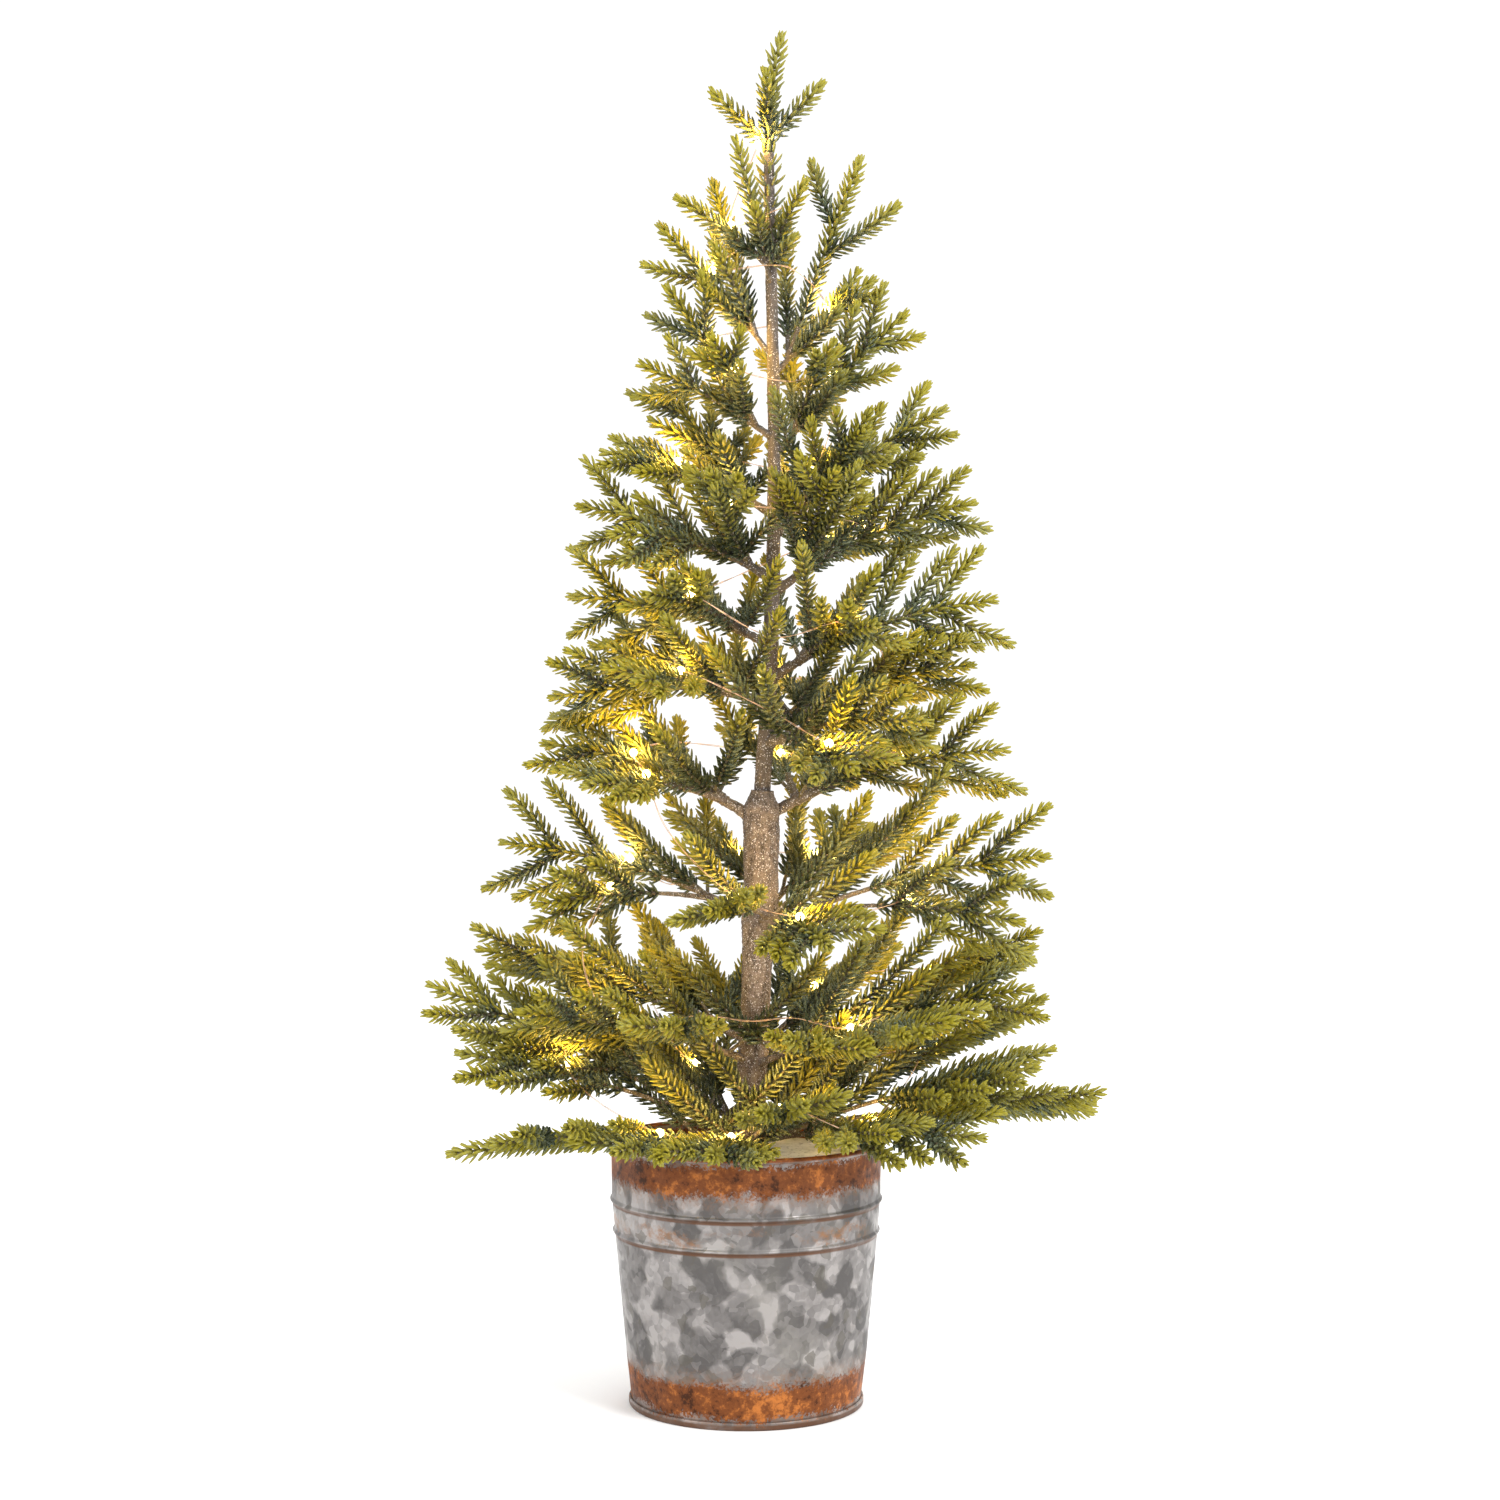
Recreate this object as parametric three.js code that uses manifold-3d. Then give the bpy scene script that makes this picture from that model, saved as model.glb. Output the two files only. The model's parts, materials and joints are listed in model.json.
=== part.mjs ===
// An artificial tabletop tree in a metal bucket, 711 mm tall, in millimetres, +Z up.
// The origin is the middle of the bucket's underside, and the front of the tree looks along -Y.
// Every branch is one piece: a wrapped wire stem with moulded needle sprays on its side twigs.
import * as THREE from "three";
import { mergeVertices } from "three/addons/utils/BufferGeometryUtils.js";
import Module from "manifold-3d";

const wasm = await Module();
wasm.setup();

// ---- Driving dimensions -------------------------------------------------------------------------

const CLEARANCE = 0.3; // between two pieces that touch

const BUCKET = {
  sheet: 0.6,
  segments: 28,
  // Outer face of the wall, as radius and height.
  wall: [
    [59.6, 1],
    [62.4, 24],
    [68.4, 88],
    [70.2, 109],
    [70.5, 133],
  ],
  lowerBead: 90.4,
  upperBead: 106.6,
  beadProud: 1.1,
  beadHalfWidth: 1.6,
  wallTop: 132,
  rimHeight: 136, // of the middle of the rolled rim
  rimWire: 0.7,
  baseLip: 1.6, // that the base's seam stands proud of the wall
  baseSeam: 4, // height of the seam
};

const FILL = { top: 128, cementBottom: 70, foamBottom: 1.1, postSocket: 54, gap: 0.4 };

const TRUNK = {
  coreRadius: 1.6,
  coreTop: 640,
  postRadii: [7.8, 9.2], // below and above its swelling
  postSwelling: [225, 252],
  postTop: 316,
  shoulder: 9, // length of the rounded end of the post
  shoulderDrop: 2.6,
  leaderRadii: [4.4, 2.6], // at its foot and at its top
  leaderTop: 652,
  foot: 2, // how far right of the bucket's middle the trunk stands
  // The line that the trunk and the leader follow, as x, y, z.
  line: [
    [2, 0, 70],
    [2, 0, 131],
    [4.4, 0, 200],
    [7.6, 0, 262],
    [8.2, 0, 316],
    [11.4, 0.6, 362],
    [13.6, 0, 420],
    [14.8, -0.6, 480],
    [14, 0, 545],
    [12.8, 0, 600],
    [11.8, 0, 652],
  ],
};

const BRANCH = {
  rootGap: 0.7, // between a branch's root and the bark
  rootRadius: 1.2,
  forkShare: 0.1, // of the first stem's length, where the others leave it
  stemRadius: 1.5,
  sprayRadius: 2.3, // of the closed solid that stands for the soft needles along a twig
  stemSides: 4,
  spraySides: 3,
  bend: 10, // degrees, how far a branch is shaped up or down at its root
  swing: 36, // the furthest that a point of a branch moves as it bends
  clearance: 1.5, // that a bent branch keeps from the next one
};

// A stem arches up by a share of its span. Those halfway up the tree arch more.
const STEM = { arch: 0.05, moreArch: 0.07, steeperFrom: [180, 320], steeperTo: [430, 540], bentAt: 0.45 };

const SPRAY = {
  shares: [0.36, 0.86], // of its stem's length, between which side sprays grow
  leans: [52, 34], // degrees from the stem, at the spray's foot and at its tip
  bentAt: 0.4,
  lengths: [20, 46], // shortest and longest
  lengthShare: 0.5, // of the stem's length, less towards the stem's tip
  shorter: 0.2,
  spread: [0.88, 1.12], // how far lengths differ from each other
  // The fan of a stem's sprays is turned by so many degrees, less on the lowest branches.
  rolls: [22, 72],
  flat: 0.4,
  flatBelow: [150, 260],
};

// How far the short twigs below differ from each other, as shares, and in degrees for their turns.
const TWIG = {
  shortest: 18,
  reaches: [0.85, 1.15],
  rises: [0.85, 1.2],
  starts: [0.07, 0.2],
  turns: 14,
  sag: 0.12,
};

// The short twigs that fill the inside of every branch. They fork from the foot of its first stem.
// The spread is from the branch's own azimuth, the reach is a share of the first stem's reach, and the
// rise is a share of the twig's reach.
const TWIGS = [
  { spread: -104, reach: 0.44, rise: 0.9 },
  { spread: -52, reach: 0.56, rise: 0.65 },
  { spread: 0, reach: 0.46, rise: 1.05 },
  { spread: 52, reach: 0.56, rise: 0.65 },
  { spread: 104, reach: 0.44, rise: 0.9 },
];

// Every branch: the height of its root on the trunk, then its stems, which fork from that root.
// A stem is [azimuth, reach from the trunk's foot, height of its tip, pairs of side sprays].
// Azimuth 0 is to the right, 90 to the back, 180 to the left and 270 to the front.
const BRANCHES = [
  [139, [184, 163, 217, 4], [196, 150, 186, 3]],
  [136, [216, 152, 148, 3], [238, 120, 146, 2]],
  [135, [260, 104, 144, 3], [284, 104, 168, 2]],
  [137, [308, 112, 152, 2], [328, 132, 148, 3]],
  [140, [-4, 175, 157, 4], [12, 150, 199, 3], [-20, 150, 180, 3]],
  [138, [48, 135, 180, 3], [80, 125, 168, 3]],
  [139, [112, 125, 176, 3], [146, 140, 192, 3]],
  [190, [174, 140, 234, 3], [146, 118, 238, 2]],
  [180, [206, 125, 208, 3], [246, 100, 206, 2]],
  [178, [322, 124, 206, 3], [292, 98, 196, 2]],
  [184, [-6, 142, 216, 3], [10, 150, 234, 3]],
  [178, [60, 118, 222, 3], [104, 115, 215, 2]],
  [256, [175, 127, 291, 3], [200, 112, 262, 2]],
  [253, [290, 108, 246, 3], [258, 92, 262, 2]],
  [250, [1, 152, 284, 3], [-20, 142, 254, 2]],
  [254, [54, 115, 296, 3], [104, 110, 290, 2]],
  [308, [180, 104, 343, 3], [212, 95, 322, 2], [140, 90, 345, 2]],
  [308, [-6, 130, 340, 3], [40, 110, 335, 2], [85, 90, 345, 2]],
  [345, [303, 92, 331, 2], [332, 98, 354, 2]],
  [352, [2, 113, 384, 3], [60, 90, 372, 2], [98, 80, 385, 2]],
  [366, [184, 100, 368, 3], [226, 80, 374, 2], [158, 88, 396, 2]],
  [380, [0, 124, 418, 3], [-44, 85, 402, 2], [50, 80, 410, 2]],
  [397, [180, 90, 420, 2], [226, 72, 418, 2], [130, 75, 425, 2]],
  [425, [-2, 113, 468, 3], [-54, 72, 478, 2], [50, 80, 455, 2]],
  [431, [178, 86, 467, 2], [206, 76, 450, 2], [250, 56, 478, 2]],
  [455, [-5, 98, 515, 2], [-42, 76, 500, 2], [48, 62, 500, 2]],
  [465, [186, 73, 494, 2], [150, 56, 532, 2], [110, 55, 510, 2]],
  [498, [2, 79, 566, 2], [-38, 52, 545, 1], [60, 45, 552, 1]],
  [505, [182, 54, 540, 1], [190, 42, 578, 1], [244, 42, 548, 1]],
  [540, [2, 62, 584, 1], [6, 57, 647, 1], [62, 38, 622, 0]],
  [550, [178, 45, 612, 1], [236, 30, 596, 0], [124, 34, 640, 0]],
  [586, [251, 20, 651, 0], [198, 36, 624, 0], [318, 36, 629, 0]],
];

// The line of the leader's tip, above the trunk, and the sprays round it: azimuth, reach and rise.
const TIP = [
  [11.6, 0, 684],
  [17.7, 0, 710],
];
const CROWN = [
  [178, 27, 24],
  [4, 26, 26],
  [262, 14, 24],
  [90, 14, 22],
];

const STRING = {
  sides: 4,
  wireRadius: 0.45,
  beadRadius: 1.6,
  beadLength: 5,
  rest: 2.1, // from the top of a stem's needles to the middle of the string
  step: 40,
};

// A light of the string lies on a stem, at a share of its length. The wire goes past other places.
const light = (branch, stem, share) => ({ on: [branch, stem, share] });
const past = (x, y, z) => ({ at: [x, y, z] });

// The string's way up the tree from the battery box.
const ROUTE = [
  past(12, 81.6, 130),
  past(12, 80, 136),
  past(12, 76, 142),
  past(12, 66, 146),
  light(6, 1, 0.5),
  light(5, 2, 0.55),
  light(4, 2, 0.5),
  past(52, -62, 150),
  light(3, 2, 0.62),
  light(3, 1, 0.55),
  light(2, 2, 0.6),
  light(1, 2, 0.6),
  light(8, 1, 0.6),
  past(-62, 40, 222),
  light(7, 1, 0.6),
  light(12, 1, 0.6),
  light(11, 2, 0.6),
  light(10, 1, 0.5),
  past(24, -30, 203),
  past(2, -26, 201),
  past(-20, -28, 204),
  light(9, 1, 0.62),
  past(-84, -24, 236),
  light(13, 2, 0.62),
  light(13, 1, 0.5),
  past(-40, 34, 268),
  light(16, 2, 0.5),
  light(16, 1, 0.5),
  light(15, 1, 0.6),
  light(15, 2, 0.5),
  light(14, 1, 0.6),
  light(14, 2, 0.55),
  past(-40, -44, 300),
  light(17, 2, 0.6),
  light(17, 1, 0.6),
  past(-40, 26, 344),
  light(18, 3, 0.5),
  light(18, 1, 0.6),
  light(19, 1, 0.7),
  past(12, -34, 360),
  light(21, 2, 0.6),
  light(21, 1, 0.5),
  past(-24, 34, 386),
  light(20, 3, 0.5),
  light(20, 1, 0.6),
  light(22, 2, 0.7),
  past(14, -26, 398),
  light(23, 2, 0.6),
  light(23, 1, 0.5),
  past(-16, 24, 428),
  light(24, 3, 0.6),
  light(24, 1, 0.5),
  past(36, -24, 462),
  light(25, 3, 0.6),
  light(27, 1, 0.6),
  past(-10, 20, 494),
  light(26, 3, 0.6),
  light(28, 1, 0.5),
  past(22, -18, 530),
  light(29, 3, 0.6),
  light(29, 2, 0.6),
  past(2, 14, 562),
  light(30, 1, 0.6),
  past(22, -12, 590),
  light(31, 1, 0.6),
  past(4, 12, 608),
  past(21, 8, 614),
  past(22, -9, 622),
  light(32, 2, 0.5),
  past(6, -6, 655),
];

const CELL = { radius: 7.1, length: 50.2, pitch: 14.8, nubRadius: 2.7, nubLength: 1.4, count: 3 };

const BOX = {
  wall: 1.6,
  front: 75.6, // from the bucket's middle to the face beside its wall
  bottom: 76,
  halfWidth: 34,
  slack: 0.4, // round the cells
  bay: 27.2, // half the width of the bay that holds the cells and contacts
  rail: 1.4, // sheet of the rails that the cover slides in
  railReach: 1.6, // of a rail's lip, each way from the middle of its groove
  stop: 1.6, // sheet of the ledge above the closed cover
  // The hole that the string leaves by.
  exitSide: 12,
  exitDepth: 6,
  exitRadius: 1.4,
};

const HOOK = {
  half: 8,
  sheet: 1.6,
  top: 140.6,
  gap: 1.5, // to the inside of the bucket's wall
  overlap: 6, // that it is joined to the box by
};

const COVER = { sheet: 1.6, ribs: 3, ribHalf: 9, ribPitch: 3, ribWidth: 1.2, ribProud: 0.8, ribStart: 4 };

const CONTACT = { sheet: 0.5, half: 3.4, beyond: 5, padHalf: 2, padProud: 0.9 };

// The slide switch in the side of the box, with heights as [from, to] and depths from the box's front.
const SWITCH = {
  pocket: [92, 108],
  pocketFront: 4,
  skin: 1.2, // left between the pocket and the outside
  body: [93.5, 106.5],
  bodyDepths: [5, 14],
  slot: [95, 105],
  slotDepths: [7, 12],
  knob: [95.6, 99.6],
  knobDepths: [7.5, 11.5],
  knobProud: 1.6,
};

// ---- Geometry helpers ---------------------------------------------------------------------------

const radians = THREE.MathUtils.degToRad;
const mix = THREE.MathUtils.lerp;
const smoothstep = THREE.MathUtils.smoothstep;
const clamp = THREE.MathUtils.clamp;
const point = (x, y, z) => new THREE.Vector3(x, y, z);

// A closed geometry as a solid that can be cut and joined.
function solid(geometry) {
  const bare = geometry.clone().deleteAttribute("normal").deleteAttribute("uv");
  const merged = mergeVertices(bare, 1e-4);
  return new wasm.Manifold(
    new wasm.Mesh({
      numProp: 3,
      vertProperties: merged.attributes.position.array,
      triVerts: new Uint32Array(merged.index.array),
    }),
  );
}

function geometryOf(shape) {
  const mesh = shape.getMesh();
  return new THREE.BufferGeometry()
    .setAttribute("position", new THREE.BufferAttribute(mesh.vertProperties, 3))
    .setIndex(new THREE.BufferAttribute(mesh.triVerts, 1));
}

// A solid of revolution about Z, from a profile of [radius, height] that closes on the axis or on itself.
function turned(profile) {
  const points = profile.map(([radius, height]) => new THREE.Vector2(radius, height));
  return new THREE.LatheGeometry(points, BUCKET.segments).rotateX(Math.PI / 2);
}

// A round bar along a curve. The profile is a list of [share of the curve's length, radius].
function swept(curve, profile, sides) {
  const rounds = profile.map(([share, radius]) => new THREE.Vector2(radius, share));
  const bar = new THREE.LatheGeometry(rounds, sides);
  const frames = [];
  let side = Math.abs(curve.getTangentAt(0).z) > 0.9 ? point(1, 0, 0) : point(0, 0, 1);
  for (const { y: share } of rounds) {
    const along = curve.getTangentAt(share);
    side = side.clone().addScaledVector(along, -side.dot(along)).normalize();
    frames.push({ at: curve.getPointAt(share), side, across: point(0, 0, 0).crossVectors(along, side) });
  }
  const place = bar.attributes.position;
  for (let i = 0; i < place.count; i++) {
    const { at, side: u, across: v } = frames[i % rounds.length];
    const moved = at.clone().addScaledVector(u, place.getZ(i)).addScaledVector(v, place.getX(i));
    place.setXYZ(i, moved.x, moved.y, moved.z);
  }
  return bar;
}

function block(low, high) {
  const size = high.map((value, axis) => value - low[axis]);
  const middle = high.map((value, axis) => (value + low[axis]) / 2);
  return new THREE.BoxGeometry(...size).translate(...middle);
}

const root = new THREE.Group();
const MATERIALS = {
  zinc: { color: 0x9c9fa0, roughness: 0.45, metalness: 0.85 },
  wire: { color: 0x8a8d90, roughness: 0.4, metalness: 1 },
  foam: { color: 0xe9e7df, roughness: 0.95, metalness: 0 },
  cement: { color: 0xb7ae98, roughness: 0.9, metalness: 0 },
  bark: { color: 0x6a574c, roughness: 0.85, metalness: 0 },
  needles: { color: 0x56633f, roughness: 0.6, metalness: 0 },
  copper: { color: 0xc98a5a, roughness: 0.35, metalness: 0.9 },
  plastic: { color: 0x2b3029, roughness: 0.5, metalness: 0 },
  cell: { color: 0x3f4245, roughness: 0.4, metalness: 0.3 },
  contact: { color: 0xc9ccd0, roughness: 0.3, metalness: 1 },
};

// Adds one named piece to the tree.
function add(name, shape, finish) {
  const geometry = shape.isBufferGeometry ? shape : geometryOf(shape);
  const mesh = new THREE.Mesh(geometry, new THREE.MeshStandardMaterial(MATERIALS[finish]));
  mesh.name = name;
  root.add(mesh);
}

// ---- Bucket and fill ----------------------------------------------------------------------------

// The outer radius of the bucket's wall at a height, without its beads.
function wallRadius(height) {
  const { wall } = BUCKET;
  const above = Math.max(1, wall.findIndex(([, z]) => z >= height));
  const [low, high] = [wall[above - 1], wall[above]];
  return mix(low[0], high[0], (height - low[1]) / (high[1] - low[1]));
}

// Points round an arc in the profile plane, angles in degrees from the outward direction.
function arc([radius, height], size, from, to, steps) {
  return Array.from({ length: steps + 1 }, (_, i) => {
    const angle = radians(mix(from, to, i / steps));
    return [radius + size * Math.cos(angle), height + size * Math.sin(angle)];
  });
}

function addBucket() {
  const { sheet, beadProud, beadHalfWidth, wallTop, rimHeight, rimWire } = BUCKET;
  const bead = (height) => [
    [wallRadius(height - beadHalfWidth), height - beadHalfWidth],
    [wallRadius(height) + beadProud, height],
    [wallRadius(height + beadHalfWidth), height + beadHalfWidth],
  ];
  const [foot, aboveFoot] = BUCKET.wall;
  const top = [wallRadius(wallTop), wallTop];
  const outside = [foot, aboveFoot, ...bead(BUCKET.lowerBead), ...bead(BUCKET.upperBead), top];
  const curlInside = rimWire + CLEARANCE;
  const curlOutside = curlInside + sheet;
  const curl = [wallRadius(wallTop) - sheet + curlOutside, rimHeight];
  const shell = [
    ...outside,
    ...arc(curl, curlInside, 178, -40, 4),
    ...arc(curl, curlOutside, -40, 180, 5),
    ...outside.toReversed().map(([radius, height]) => [radius - sheet, height]),
    foot,
  ];
  add("bucket_shell", turned(shell), "zinc");
  const wire = arc(curl, rimWire, 0, 300, 5);
  add("rim_wire", turned([...wire, wire[0]]), "wire");

  const lip = foot[0] + BUCKET.baseLip;
  const inner = foot[0] + CLEARANCE + 0.1;
  const base = [
    [0, 0],
    [lip - 1, 0],
    [lip, 0.9],
    [lip, BUCKET.baseSeam - 0.8],
    [lip - 0.6, BUCKET.baseSeam],
    [inner + 0.3, BUCKET.baseSeam - 0.6],
    [inner, 0.7],
    [0, 0.7],
  ];
  add("bucket_base", turned(base), "zinc");
}

function addFill() {
  const { top, cementBottom, postSocket } = FILL;
  const inside = (height) => wallRadius(height) - BUCKET.sheet - FILL.gap;
  const foam = [FILL.foamBottom, cementBottom - CLEARANCE];
  const foamProfile = [[0, foam[0]], [inside(foam[0]), foam[0]], [inside(foam[1]), foam[1]], [0, foam[1]]];
  add("foam_block", turned(foamProfile), "foam");
  const cement = [
    [0, cementBottom],
    [inside(cementBottom), cementBottom],
    [inside(BUCKET.lowerBead - 2), BUCKET.lowerBead - 2],
    [inside(top), top],
    [0, top],
  ];
  const socketRadius = postRadius(top) + CLEARANCE;
  const socketDepth = postSocket + CLEARANCE;
  const socket = new THREE.CylinderGeometry(socketRadius, socketRadius, 2 * socketDepth, 16)
    .rotateX(Math.PI / 2)
    .translate(TRUNK.foot, 0, top);
  add("cement_fill", solid(turned(cement)).subtract(solid(socket)), "cement");
}

// ---- Trunk --------------------------------------------------------------------------------------

const trunkLine = new THREE.CatmullRomCurve3(TRUNK.line.map((p) => point(...p)));
trunkLine.arcLengthDivisions = 2000;

// The share of the trunk line's length at which it reaches a height.
function shareAt(height) {
  let [low, high] = [0, 1];
  for (let i = 0; i < 30; i++) {
    const middle = (low + high) / 2;
    if (trunkLine.getPointAt(middle).z < height) low = middle;
    else high = middle;
  }
  return low;
}

const trunkAt = (height) => trunkLine.getPointAt(shareAt(height));
const trunkPoints = trunkLine.getSpacedPoints(30);

function postRadius(height) {
  const [low, high] = TRUNK.postRadii;
  return mix(low, high, smoothstep(height, ...TRUNK.postSwelling));
}

function leaderRadius(height) {
  const { postTop, leaderTop, leaderRadii } = TRUNK;
  return mix(...leaderRadii, (height - postTop) / (leaderTop - postTop));
}

// A stretch of trunk between two heights, thick by a radius that depends on the height.
function trunkStretch(from, to, radiusAt, steps, sides) {
  const heights = Array.from({ length: steps + 1 }, (_, i) => mix(from, to, i / steps));
  const rings = heights.map((height) => [shareAt(height), radiusAt(height)]);
  return swept(trunkLine, [[rings[0][0], 0], ...rings, [rings.at(-1)[0], 0]], sides);
}

function addTrunk() {
  const { coreRadius, coreTop, postTop, shoulder, shoulderDrop, leaderTop } = TRUNK;
  const bottom = FILL.top - FILL.postSocket;
  const bore = () => coreRadius + CLEARANCE;
  const drop = (height) => shoulderDrop * smoothstep(height, postTop - shoulder, postTop);
  const rounded = (height) => postRadius(height) - drop(height);
  const hole = solid(trunkStretch(bottom - 0.01, coreTop + 0.5, bore, 20, 6));
  const leaderFoot = postTop + CLEARANCE;
  add("trunk_core_rod", trunkStretch(bottom + CLEARANCE, coreTop, () => coreRadius, 20, 6), "wire");
  add("trunk_post", solid(trunkStretch(bottom, postTop, rounded, 16, 12)).subtract(hole), "bark");
  add("leader_stem", solid(trunkStretch(leaderFoot, leaderTop, leaderRadius, 14, 8)).subtract(hole), "bark");
}

// ---- Branches -----------------------------------------------------------------------------------

// A repeatable number from 0 to 1 for item n, a different one for each use.
function chance(n, use) {
  const wave = Math.sin(12.9898 * (n + 1) + 78.233 * (use + 1)) * 43758.5453;
  return wave - Math.floor(wave);
}

// The direction at a slope above the horizon, both in degrees.
function heading(azimuth, slope) {
  const [a, s] = [radians(azimuth), radians(slope)];
  return point(Math.cos(a) * Math.cos(s), Math.sin(a) * Math.cos(s), Math.sin(s));
}

// Where branch n is rooted, just clear of the bark, and the azimuth that its root points to.
function branchRoot(n) {
  const [height, ...stems] = BRANCHES[n];
  const azimuth = stems.reduce((sum, [angle]) => sum + angle, 0) / stems.length;
  const bark = height < TRUNK.postTop ? postRadius(height) : leaderRadius(height);
  return { azimuth, foot: trunkAt(height).addScaledVector(heading(azimuth, 0), bark + BRANCH.rootGap) };
}

// The line of a stem: it leaves its start upwards and arches out to its tip.
function stemLine(foot, [azimuth, reach, tipHeight]) {
  const tip = heading(azimuth, 0).multiplyScalar(reach).add(point(TRUNK.foot, 0, tipHeight));
  const steeper = smoothstep(foot.z, ...STEM.steeperFrom) - smoothstep(foot.z, ...STEM.steeperTo);
  const arch = (STEM.arch + STEM.moreArch * steeper) * foot.distanceTo(tip);
  const middle = foot.clone().lerp(tip, STEM.bentAt).add(point(0, 0, arch));
  return new THREE.QuadraticBezierCurve3(foot, middle, tip);
}

// The stems of branch n: the first grows from the root, and the others fork from it.
function stemLines(n) {
  const first = stemLine(branchRoot(n).foot, BRANCHES[n][1]);
  const fork = first.getPointAt(BRANCH.forkShare);
  return [first, ...BRANCHES[n].slice(2).map((plan) => stemLine(fork, plan))];
}

// A side spray: it leaves the stem sideways at about 50 degrees and bends forward.
function sprayLine(stem, share, side, roll, length) {
  const start = stem.getPointAt(share);
  const along = stem.getTangentAt(share);
  const level = point(0, 0, 1).cross(along).normalize();
  const up = along.clone().cross(level);
  const out = level.multiplyScalar(side * Math.cos(roll)).addScaledVector(up, side * Math.sin(roll));
  const lean = (angle) =>
    along.clone().multiplyScalar(Math.cos(radians(angle))).addScaledVector(out, Math.sin(radians(angle)));
  const [footLean, tipLean] = SPRAY.leans;
  const middle = start.clone().addScaledVector(lean(footLean), length * SPRAY.bentAt);
  const end = middle.clone().addScaledVector(lean(tipLean), length * (1 - SPRAY.bentAt));
  return new THREE.QuadraticBezierCurve3(start, middle, end);
}

// The pairs of side sprays of a stem. The fan they make is turned about a stem that is seen from the side,
// and lies flatter the lower the branch is.
function sideSprays(stem, pairs, seed) {
  const along = stem.getTangentAt(0.5).setZ(0).normalize();
  const upright = mix(SPRAY.flat, 1, smoothstep(stem.getPointAt(0).z, ...SPRAY.flatBelow));
  const stand = Math.max(0.3, Math.abs(along.x)) * upright;
  const roll = radians(mix(...SPRAY.rolls, chance(seed, 0)) * stand * (chance(seed, 1) < 0.5 ? -1 : 1));
  return Array.from({ length: 2 * pairs }, (_, k) => {
    const share = mix(...SPRAY.shares, (Math.floor(k / 2) + 0.3 + 0.4 * chance(seed, 10 + k)) / pairs);
    const full = stem.getLength() * (SPRAY.lengthShare - SPRAY.shorter * share);
    const length = clamp(full, ...SPRAY.lengths) * mix(...SPRAY.spread, chance(seed, 30 + k));
    return sprayLine(stem, share, k % 2 ? 1 : -1, roll, length);
  });
}

// A short twig that leaves its start outwards and curves up.
function twigLine(start, azimuth, reach, rise) {
  const tip = start.clone().addScaledVector(heading(azimuth, 0), reach).add(point(0, 0, rise));
  const middle = start.clone().lerp(tip, 0.5).add(point(0, 0, -TWIG.sag * reach));
  return new THREE.QuadraticBezierCurve3(start, middle, tip);
}

// Low branches have no twig at the front, so the thick trunk shows. Those near the top have none that turn
// back round the trunk.
function growsTwig(azimuth, spread, height) {
  const fromFront = Math.abs((((azimuth % 360) + 360) % 360) - 270);
  return height < 300 ? fromFront > 34 : height < 480 || Math.abs(spread) < 60;
}

// The parts of branch n: its stems, each with its side sprays, and its short twigs.
function branchLines(n) {
  const { azimuth, foot } = branchRoot(n);
  const lines = stemLines(n);
  const stems = lines.map((line, s) => {
    const pairs = BRANCHES[n][s + 1][3];
    return { line, sprays: sideSprays(line, pairs, 8 * n + s) };
  });
  const twigs = TWIGS.flatMap(({ spread, reach, rise }, k) => {
    const seed = 8 * n + 3 + k;
    const full = BRANCHES[n][1][1] * reach * mix(...TWIG.reaches, chance(seed, 2));
    const out = Math.max(TWIG.shortest, full);
    const turn = azimuth + spread + mix(-TWIG.turns, TWIG.turns, chance(seed, 3));
    if (!growsTwig(turn, spread, foot.z)) return [];
    const start = lines[0].getPointAt(mix(...TWIG.starts, chance(seed, 4)));
    return [twigLine(start, turn, out, out * rise * mix(...TWIG.rises, chance(seed, 5)))];
  });
  return { azimuth, foot, stems, twigs };
}

// ---- Clearance between branches -------------------------------------------------------------------

// The points of a line once its branch is bent by an angle, in degrees, at its root.
function bent(points, { azimuth, foot }, angle) {
  const axis = heading(azimuth - 90, 0);
  return points.map((p) => p.clone().sub(foot).applyAxisAngle(axis, radians(angle)).add(foot));
}

// The shortest distance between two straight steps.
function stepDistance(a, b, c, d) {
  const [u, v, w] = [b.clone().sub(a), d.clone().sub(c), a.clone().sub(c)];
  const [uu, uv, vv, uw, vw] = [u.dot(u), u.dot(v), v.dot(v), u.dot(w), v.dot(w)];
  let s = clamp((uv * vw - vv * uw) / (uu * vv - uv * uv || 1), 0, 1);
  const t = clamp((uv * s + vw) / vv, 0, 1);
  s = clamp((uv * t - uw) / uu, 0, 1);
  return w.addScaledVector(u, s).addScaledVector(v, -t).length();
}

function linesMeet(first, second, gap) {
  for (let i = 1; i < first.length; i++) {
    for (let k = 1; k < second.length; k++) {
      const [a, b, c, d] = [first[i - 1], first[i], second[k - 1], second[k]];
      const near = b.distanceTo(d) < gap + a.distanceTo(b) + c.distanceTo(d);
      if (near && stepDistance(a, b, c, d) < gap) return true;
    }
  }
  return false;
}

// A line of a branch as straight steps, at rest and bent.
function movable(line, branch) {
  const rest = line.getSpacedPoints(5);
  const known = new Map([[0, rest]]);
  const at = (angle) => {
    if (!known.has(angle)) known.set(angle, bent(rest, branch, angle));
    return known.get(angle);
  };
  return { line, at, middle: line.getPointAt(0.5), half: line.getLength() / 2 };
}

const BENDS = [-1, -0.5, 0, 0.5, 1].map((part) => part * BRANCH.bend);

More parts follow.
